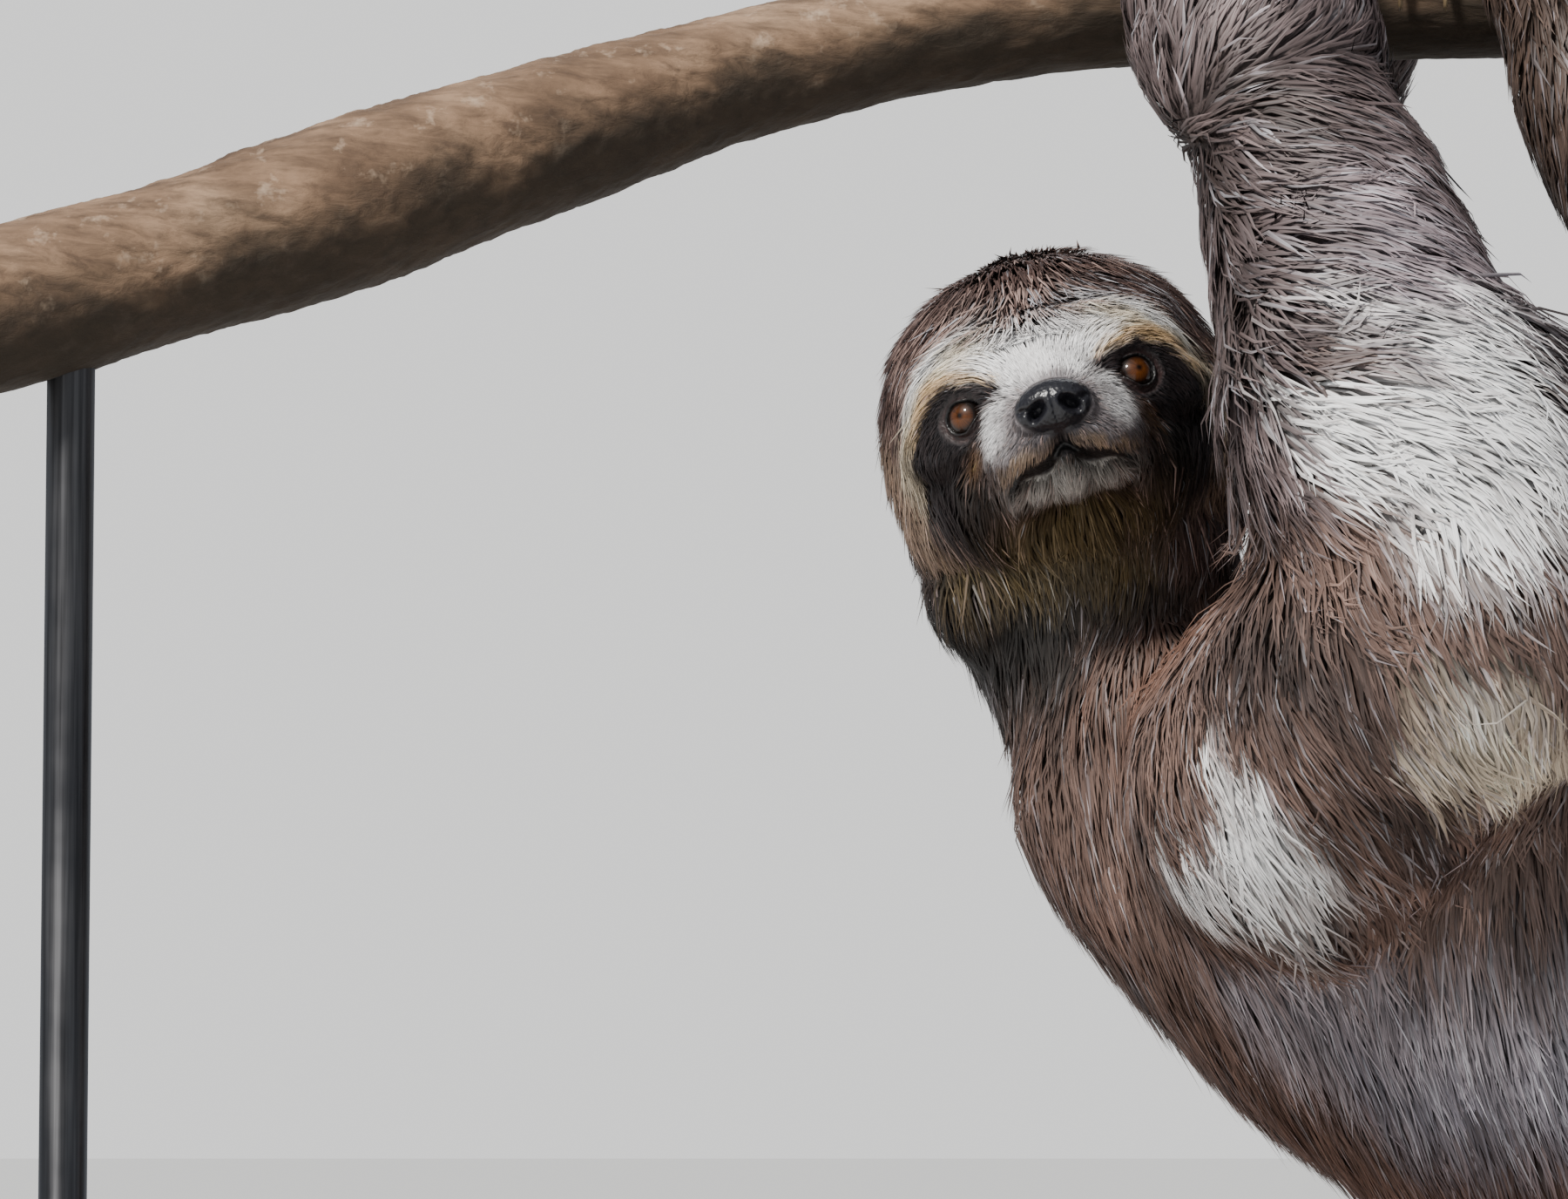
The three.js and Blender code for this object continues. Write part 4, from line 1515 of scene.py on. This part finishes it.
def add_bar(bm, segments, cuts, place):
    """Adds a round bar, cut across, with each point moved to place(x, y, share of its length)."""
    start = len(bm.verts)
    bmesh.ops.create_cone(bm, cap_ends=True, segments=segments, radius1=1, radius2=1, depth=1)
    bm.verts.ensure_lookup_table()
    edges = {e for v in bm.verts[start:] for e in v.link_edges}
    lengthways = [e for e in edges if abs(e.verts[0].co.z - e.verts[1].co.z) > 0.5]
    bmesh.ops.subdivide_edges(bm, edges=lengthways, cuts=cuts)
    bm.verts.ensure_lookup_table()
    added = bm.verts[start:]
    for vert in added:
        x, y, z = vert.co
        vert.co = place(x, y, z + 0.5)
    return added


def branch_at(share):
    """The branch's middle and radius in metres on a smooth curve, by its share from left to right."""
    stations = np.array(BRANCH, dtype=float) * MM
    number = np.clip(share, 0, 1) * (len(stations) - 1)
    low = min(int(number), len(stations) - 2)
    t = number - low
    before, after = stations[max(low - 1, 0)], stations[min(low + 2, len(stations) - 1)]
    a, b = stations[low], stations[low + 1]
    square = (2 * before - 5 * a + 4 * b - after) * t**2
    cube = (3 * a - before - 3 * b + after) * t**3
    place = 0.5 * (2 * a + (b - before) * t + square + cube)
    return Vector(place[:3]), place[3]


def branch_over(x):
    """The branch's middle and radius where it crosses a place along X, in metres."""
    low, high = 0.0, 1.0
    for _ in range(24):
        share = (low + high) / 2
        if branch_at(share)[0].x < x:
            low = share
        else:
            high = share
    return branch_at(low)


def claws_mesh(name):
    """Three hooked claws, side by side, each a keeled horn that thins to its tip."""
    grip, side, claw_to = GRIPS[name]
    sizes = bpy.context.scene.sloth_sizes
    bm = bmesh.new()
    for index in range(3):
        middle, radius = branch_over(grip * MM + (index - 1) * sizes.claw_pitch)

        def place(x, y, share):
            angle = math.radians(mix(CLAW_FROM - 26, claw_to, share))
            thin = mix(1, 0.14, share**1.6)
            out = Vector((0, side * math.cos(angle), math.sin(angle)))
            reach = radius + (1.0 + 4.4 * thin + 1.2 * share) * MM
            keel = 1 + 0.22 * max(-y, 0)
            across = 3.2 * thin * x * (1 - 0.25 * max(-y, 0)) * MM
            return middle + out * (reach + sizes.claw_depth * thin * y * keel) + Vector((across, 0, 0))

        add_bar(bm, 16, 30, place)
    bmesh.ops.recalc_face_normals(bm, faces=bm.faces)
    return mesh_of(bm, f"claws_{name}")


def horn_finish():
    """Pale horn that darkens to its root, with grooves along it and a worn gloss."""
    material, shader, wires = finish("claw")
    place = wires.place((900, 60, 60))
    grooves = wires.noise(place, 1, 3, 0.6)
    clouds = wires.noise(wires.place(), 120, 3)
    tint = wires.shades(grooves, (0.25, 70, 56, 42), (0.55, 130, 112, 84), (0.8, 166, 148, 116))
    tint = wires.blend(wires.span(clouds, 0.4, 0.75, 0.0, 0.6), tint, colour(96, 76, 54))
    wires.join(tint, shader, "Base Color")
    wires.join(wires.span(clouds, 0.3, 0.7, 0.28, 0.5), shader, "Roughness")
    wires.bump(shader, grooves, 0.4, 0.0004)
    return material


def branch_mesh():
    """The cut branch: bulges, knots and a rough bark, with flat sawn ends."""
    bm = bmesh.new()

    def place(x, y, share):
        middle, radius = branch_at(share)
        ahead = (branch_at(share + 0.01)[0] - branch_at(share - 0.01)[0]).normalized()
        side = Vector((0, 0, 1)).cross(ahead).normalized()
        up = ahead.cross(side)
        out = side * x + up * y
        at = middle + out * radius
        swell = noise.noise(at * 22) * 1.1 + noise.noise(at * 70) * 0.5
        ridges = noise.turbulence(Vector((at.x * 60, at.y * 260, at.z * 260)), 4, True) * 0.8
        return middle + out * (radius + (swell + ridges - 0.5) * MM)

    add_bar(bm, 72, 420, place)
    caps = [f for f in bm.faces if len(f.verts) > 4]
    for face in caps:
        face.material_index = 1
    rims = [e for f in caps for e in f.edges]
    bmesh.ops.bevel(bm, geom=rims, offset=0.8 * MM, segments=2, affect="EDGES", profile=0.5, material=0)
    caps = [f for f in bm.faces if len(f.verts) > 4]
    bmesh.ops.poke(bm, faces=caps)
    bmesh.ops.recalc_face_normals(bm, faces=bm.faces)
    mesh = mesh_of(bm, "branch")
    points, normals = points_of(mesh), normals_of(mesh)
    from_ends = [np.linalg.norm(points - np.array(branch_at(end)[0]), axis=1) for end in (0, 1)]
    set_attribute(mesh, "heart", "FLOAT", np.minimum(*from_ends) / MM)
    # Painted shade: a share that rises towards the branch's underside, where the bark's colour is darkened.
    under = -normals[:, 2] + 0.2 * waves(points, 30 * MM, 7)
    set_attribute(mesh, "under", "FLOAT", step(under, -0.55, 0.5))
    along = points[:, 0] + 0.02 * waves(points, 50 * MM, 8)
    set_attribute(mesh, "moss", "FLOAT", step(along, 0.05, 0.16))
    return mesh


def bark_finish():
    """Grey-brown bark, blotched and cracked, with painted shade that darkens its underside, and lichen
    towards one end.
    """
    material, shader, wires = finish("bark")
    place = wires.place()
    broad = wires.noise(place, 26, 5, 0.6)
    fine = wires.noise(wires.place((60, 240, 240)), 1, 6, 0.65, 0.4)
    tint = wires.shades(broad, (0.28, 92, 70, 52), (0.5, 138, 110, 86), (0.72, 176, 146, 118))
    tint = wires.blend(wires.span(fine, 0.4, 0.66, 0.0, 0.75), tint, colour(70, 52, 38))
    spots = wires.noise(place, 90, 4, 0.7)
    tint = wires.blend(wires.span(spots, 0.58, 0.72, 0.0, 0.6), tint, colour(196, 172, 148))
    # Painted shade: the underside is laid near black-brown.
    tint = wires.blend(wires.scaled_value(wires.attribute("under", "Fac"), 0.92), tint, colour(34, 27, 16))
    lichen = wires.noise(place, 130, 4, 0.7)
    patchy = wires.scaled_value(wires.span(lichen, 0.5, 0.62), wires.attribute("moss", "Fac"))
    tint = wires.blend(patchy, tint, colour(120, 124, 66))
    wires.join(tint, shader, "Base Color")
    shader.inputs["Roughness"].default_value = 0.85
    wires.bump(shader, fine, 0.7, 0.0012)
    return material


def cut_wood_finish():
    """Sawn ends: growth rings round the heart, with fine radial checks."""
    material, shader, wires = finish("cut wood")
    warp = wires.span(wires.noise(wires.place(), 160, 2), 0.3, 0.7, -0.9, 0.9)
    from_heart = wires.attribute("heart", "Fac")
    far = wires.add("ShaderNodeMath", {0: from_heart, 1: warp}, operation="ADD").outputs[0]
    turns = wires.scaled_value(far, 3.6)
    rings = wires.add("ShaderNodeMath", {0: turns}, operation="SINE").outputs[0]
    tint = wires.shades(wires.span(rings, -1, 1), (0.1, 140, 106, 70), (0.7, 196, 166, 122))
    heart = wires.span(far, 0.5, 9, 0.55, 1.0)
    tint, grain = wires.uneven(wires.scaled(tint, heart), wires.place((300, 1500, 1500)), 1.0, 0.75, 1.2)
    wires.join(tint, shader, "Base Color")
    shader.inputs["Roughness"].default_value = 0.8
    wires.bump(shader, grain, 0.3, 0.0004)
    return material


def base_mesh():
    """The stand's flat board, with round corners and eased edges."""
    low, high = (Vector(c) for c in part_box("stand_base"))
    size = high - low
    sizes = bpy.context.scene.sloth_sizes
    bm = bmesh.new()
    place = Matrix.Translation((low + high) / 2) @ Matrix.Diagonal((*size, 1))
    bmesh.ops.create_cube(bm, size=1, matrix=place)
    upright = [e for e in bm.edges if abs(e.verts[0].co.z - e.verts[1].co.z) > size.z / 2]
    corner, edge = sizes.board_corner, sizes.board_edge
    bmesh.ops.bevel(bm, geom=upright, offset=corner, segments=14, affect="EDGES", profile=0.5, material=-1)
    rims = [e for e in bm.edges if abs(e.verts[0].co.z - e.verts[1].co.z) < 1e-6]
    bmesh.ops.bevel(bm, geom=rims, offset=edge, segments=4, affect="EDGES", profile=0.5, material=-1)
    return mesh_of(bm, "stand_board")


def wood_finish():
    """Walnut with long grain, pores and a satin lacquer."""
    material, shader, wires = finish("base wood")
    long = wires.place((3, 34, 34))
    grain = wires.noise(long, 1.0, 5, 0.6, 1.2)
    pores = wires.noise(wires.place((40, 900, 900)), 1.0, 2)
    tint = wires.shades(grain, (0.3, 64, 42, 30), (0.5, 98, 66, 46), (0.7, 126, 90, 64))
    tint = wires.blend(wires.span(pores, 0.6, 0.75, 0.0, 0.5), tint, colour(46, 30, 22))
    wires.join(tint, shader, "Base Color")
    wires.join(wires.span(pores, 0.4, 0.7, 0.34, 0.5), shader, "Roughness")
    shader.inputs["Coat Weight"].default_value = 0.25
    shader.inputs["Coat Roughness"].default_value = 0.25
    wires.bump(shader, pores, 0.15, 0.0003)
    return material


def rod_mesh(node):
    """A round rod that stands in a low turned collar and goes up into the branch."""
    low, high = (Vector(c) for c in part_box(node))
    middle, radius = (low + high) / 2, (high.x - low.x) / 2
    collar = [(0, 0), (15, 0), (15, 3.2), (14.2, 4.4), (12.5, 5)]
    collar += [(radius / MM + 0.6, 5.4), (radius / MM, 6.2)]
    profile = [Vector((x * MM, 0, z * MM)) for x, z in collar]
    profile += [Vector((radius, 0, high.z - low.z)), Vector((0, 0, high.z - low.z))]
    bm = bmesh.new()
    verts = [bm.verts.new(p) for p in profile]
    edges = [bm.edges.new(pair) for pair in zip(verts, verts[1:])]
    bmesh.ops.spin(
        bm, geom=verts + edges, axis=(0, 0, 1), cent=(0, 0, 0), steps=40, angle=2 * math.pi, use_merge=True
    )
    bmesh.ops.remove_doubles(bm, verts=bm.verts, dist=1e-6)
    bmesh.ops.recalc_face_normals(bm, faces=bm.faces)
    bmesh.ops.translate(bm, verts=bm.verts, vec=(middle.x, middle.y, low.z))
    mesh = mesh_of(bm, node)
    return with_modifiers(mesh, ("EDGE_SPLIT", {"split_angle": math.radians(50)}))


def metal_finish():
    """Blackened steel, brushed along its length."""
    material, shader, wires = finish("rod metal")
    brushed = wires.noise(wires.place((900, 900, 14)), 1.0, 3)
    clouds = wires.noise(wires.place(), 40, 3)
    wires.join(wires.shades(brushed, (0.3, 56, 56, 58), (0.7, 92, 92, 94)), shader, "Base Color")
    wires.join(wires.span(clouds, 0.3, 0.7, 0.32, 0.5), shader, "Roughness")
    shader.inputs["Metallic"].default_value = 1.0
    wires.bump(shader, brushed, 0.1, 0.0002)
    return material


# ---------------------------------------------------------------- operators


BUILT = {}  # the finished skin, which the coat grows on

# The coat's pieces: the nodes that each one's locks grow over, their form, and how unruly they are.
COAT_PIECES = {
    "coat_face": (("head", "nose"), SHORT_LOCK, 0.45),
    "coat_crown": (("head", "nose"), SHORT_LOCK, 0.8),
    "coat_neck": (("neck",), SHORT_LOCK, 0.6),
    "coat_trunk_front": (("trunk",), SHORT_LOCK, 0.6),
    "coat_trunk_rear": (("trunk", "tail"), SHORT_LOCK, 0.6),
    "coat_upper_arm_right": (("upper_arm_right",), LONG_LOCK, 0.9),
    "coat_forearm_right": (("forearm_right", "hand_right"), LONG_LOCK, 1.1),
    "coat_arm_left": (("upper_arm_left", "forearm_left", "hand_left"), SHORT_LOCK, 1.0),
    "coat_leg_right": (("thigh_right", "shin_right", "foot_right"), SHORT_LOCK, 0.9),
    "coat_leg_left": (("thigh_left", "shin_left", "foot_left"), SHORT_LOCK, 0.9),
}


def where_grows(skin, name, nodes):
    """Marks the skin's points where a piece of the coat grows."""
    grows = np.isin(skin.owners, [FLESH_NODES.index(node) for node in nodes])
    if name in ("coat_face", "coat_crown"):
        azimuth, elevation = head_angles(skin.points)
        face = (np.abs(azimuth) < FACE_HALF) & (elevation > -50) & (elevation < FACE_TOP)
        grows &= face if name == "coat_face" else ~face
    if name.startswith("coat_trunk"):
        grows &= (skin.points[:, 0] < TRUNK_SPLIT) == name.endswith("front")
    return grows


def colour_skin(mesh, skin):
    """Gives the skin the coat's colours, and its own where it is bare: nose, lips and eyelids."""
    held = skin.head > 0.5
    azimuth, elevation = head_angles(skin.points[held])
    ways = head_ways(azimuth, elevation)
    leather, lips = np.zeros(len(skin.points)), np.zeros(len(skin.points))
    leather[held] = nose_share(azimuth, elevation)
    lips[held] = mouth_share(azimuth, elevation)
    patchy = 0.62 + 0.55 * step(waves(skin.points, 2.6 * MM, 41), -0.5, 0.8)
    tint = mix(skin.tint, paint("lid") * patchy[:, None], skin.bare[:, None])
    tint = mix(tint, paint("leather"), leather[:, None])
    tint = mix(tint, paint("lip"), lips[:, None])
    for side in (-1, 1):
        across, up = lid_places(ways, side)
        edge = lid_edge(across, up)
        near = ways @ eye_frame(side)[1] > 0.9
        # Painted shade: the upper lid is darkened as if under the brow's shadow.
        upper_lid_shade = near * step(up, 0.5, 3) * 0.5 * (edge < 2.4)
        rim = near * (1 - step(edge, 1.12, 1.22))
        tint[held] = mix(tint[held], paint("lip"), np.maximum(rim, upper_lid_shade)[:, None])
    set_colours(mesh, "tint", tint)
    set_attribute(mesh, "rough", "FLOAT", 0.85 - 0.4 * skin.bare - 0.15 * leather)


class SLOTH_OT_skin(bpy.types.Operator):
    """Makes the one skin that stands for all the nodes of flesh"""

    bl_idname = "sloth.skin"
    bl_label = "Skin"

    def execute(self, context):
        mesh = skin_mesh()
        BUILT["skin"] = Skin(mesh)
        colour_skin(mesh, BUILT["skin"])
        new_piece("skin", mesh, FLESH_NODES, [skin_finish()])
        return {"FINISHED"}


class SLOTH_OT_coat(bpy.types.Operator):
    """Grows the coat's locks over the skin"""

    bl_idname = "sloth.coat"
    bl_label = "Coat"

    def execute(self, context):
        skin, settings = BUILT["skin"], context.scene.sloth_coat
        material = coat_finish()
        share = settings.density * 1.0
        for seed, (name, (nodes, form, mess)) in enumerate(COAT_PIECES.items()):
            grows = where_grows(skin, name, nodes)
            locks = Locks(skin, grows, form, mess * settings.unruly, share, seed)
            new_piece(name, locks.mesh(name), (), [material])
        return {"FINISHED"}


class SLOTH_OT_eyes(bpy.types.Operator):
    """Sets the two eyes between their lids"""

    bl_idname = "sloth.eyes"
    bl_label = "Eyes"

    def execute(self, context):
        material = eye_finish()
        for name, side in zip(SIDES, (-1, 1)):
            new_piece(f"eyeball_{name}", eye_mesh(side), [f"eye_{name}"], [material])
        return {"FINISHED"}


class SLOTH_OT_claws(bpy.types.Operator):
    """Hooks the claws over the branch, three to each hand and foot"""

    bl_idname = "sloth.claws"
    bl_label = "Claws"

    def execute(self, context):
        material = horn_finish()
        for name in GRIPS:
            nodes = [f"claw_{name}_{number}" for number in (1, 2, 3)]
            new_piece(f"claws_{name}", claws_mesh(name), nodes, [material])
        return {"FINISHED"}


class SLOTH_OT_branch(bpy.types.Operator):
    """Lays the cut branch with its bark and sawn ends"""

    bl_idname = "sloth.branch"
    bl_label = "Branch"

    def execute(self, context):
        new_piece("bark", branch_mesh(), ["branch"], [bark_finish(), cut_wood_finish()])
        return {"FINISHED"}


class SLOTH_OT_stand(bpy.types.Operator):
    """Makes the stand's board and its two rods"""

    bl_idname = "sloth.stand"
    bl_label = "Stand"

    def execute(self, context):
        new_piece("stand_board", base_mesh(), ["stand_base"], [wood_finish()])
        material = metal_finish()
        for side in ("left", "right"):
            node = f"stand_rod_{side}"
            new_piece(f"rod_{side}", rod_mesh(node), [node], [material])
        return {"FINISHED"}


def studio_world():
    """A pale room that looks brighter than the soft light it gives."""
    world = bpy.data.worlds.new("studio")
    world.use_nodes = True
    wires = Wiring(world.node_tree)
    light = world.node_tree.nodes["Background"]
    light.inputs["Color"].default_value = ROOM_LIGHT
    light.inputs["Strength"].default_value = ROOM_LIGHT_POWER
    seen = wires.add("ShaderNodeBackground", {"Color": ROOM_SEEN, "Strength": ROOM_SEEN_POWER})
    path = wires.add("ShaderNodeLightPath").outputs["Is Camera Ray"]
    room = wires.add("ShaderNodeMixShader", {0: path, 1: light.outputs[0], 2: seen.outputs[0]})
    wires.join(room.outputs[0], world.node_tree.nodes["World Output"], "Surface")
    return world


def studio_floor():
    """The plain pale floor."""
    bm = bmesh.new()
    bmesh.ops.create_grid(bm, x_segments=1, y_segments=1, size=30)
    floor = bpy.data.objects.new("floor", mesh_of(bm, "floor", False))
    bpy.context.scene.collection.objects.link(floor)
    material, shader, wires = finish("pale floor")
    grain = wires.noise(wires.place(), 60, 3)
    tone = bpy.context.scene.sloth_stage.floor
    wires.join(wires.ramp(grain, [(0.3, [0.95 * c for c in tone]), (0.7, tone)]), shader, "Base Color")
    shader.inputs["Roughness"].default_value = 0.7
    floor.data.materials.append(material)


def studio_lights():
    """A soft key light from the front left, and a rim light from behind."""
    settings = bpy.context.scene.sloth_stage
    key = bpy.data.lights.new("key", "SUN")
    key.energy, key.angle, key.color = settings.key, settings.softness, KEY_TINT
    rim = bpy.data.lights.new("rim", "AREA")
    rim.size, rim.energy, rim.color = settings.rim_size, RIM_POWER, RIM_TINT
    for data, place in ((key, KEY_AT), (rim, RIM_AT)):
        light = bpy.data.objects.new(data.name, data)
        light.location = place
        way = Vector(LIGHTS_AIM) - Vector(place)
        light.rotation_euler = way.to_track_quat("-Z", "Y").to_euler()
        bpy.context.scene.collection.objects.link(light)


def studio_camera():
    """A camera that looks a little upwards at the head."""
    lens = bpy.data.cameras.new("camera")
    lens.lens, lens.sensor_width, lens.clip_start = LENS, SENSOR_WIDTH, NEAREST
    camera = bpy.data.objects.new("camera", lens)
    camera.location = CAMERA_AT
    camera.rotation_euler = (math.radians(CAMERA_TILT), 0, 0)
    bpy.context.scene.collection.objects.link(camera)
    return camera


class SLOTH_OT_stage(bpy.types.Operator):
    """Sets the floor, lights and camera"""

    bl_idname = "sloth.stage"
    bl_label = "Stage"

    def execute(self, context):
        studio_floor()
        context.scene.world = studio_world()
        studio_lights()
        context.scene.camera = studio_camera()
        return {"FINISHED"}


class SLOTH_PT_parts(bpy.types.Panel):
    """Lists the model's pieces and what can be changed"""

    bl_idname = "SLOTH_PT_parts"
    bl_label = "Hanging sloth"
    bl_space_type = "VIEW_3D"
    bl_region_type = "UI"
    bl_category = "Sloth"

    def draw(self, context):
        column = self.layout.column(align=True)
        for operator in OPERATORS:
            column.operator(operator.bl_idname)
        for attribute, group in GROUPS.items():
            box = self.layout.box()
            box.label(text=group.__doc__)
            for name in group.__annotations__:
                box.prop(getattr(context.scene, attribute), name)


OPERATORS = [
    SLOTH_OT_skin,
    SLOTH_OT_coat,
    SLOTH_OT_eyes,
    SLOTH_OT_claws,
    SLOTH_OT_branch,
    SLOTH_OT_stand,
    SLOTH_OT_stage,
]
GROUPS = {
    "sloth_head": SLOTH_PG_head_tints,
    "sloth_body": SLOTH_PG_body_tints,
    "sloth_coat": SLOTH_PG_coat,
    "sloth_sizes": SLOTH_PG_sizes,
    "sloth_stage": SLOTH_PG_stage,
}


def register():
    for cls in (*GROUPS.values(), *OPERATORS, SLOTH_PT_parts):
        bpy.utils.register_class(cls)
    for attribute, group in GROUPS.items():
        setattr(bpy.types.Scene, attribute, PointerProperty(type=group))


def unregister():
    for attribute in GROUPS:
        delattr(bpy.types.Scene, attribute)
    for cls in (SLOTH_PT_parts, *reversed(OPERATORS), *GROUPS.values()):
        bpy.utils.unregister_class(cls)


def main():
    register()
    bpy.ops.sloth.skin()
    bpy.ops.sloth.coat()
    bpy.ops.sloth.eyes()
    bpy.ops.sloth.claws()
    bpy.ops.sloth.branch()
    bpy.ops.sloth.stand()
    bpy.ops.sloth.stage()


if __name__ == "__main__":
    main()
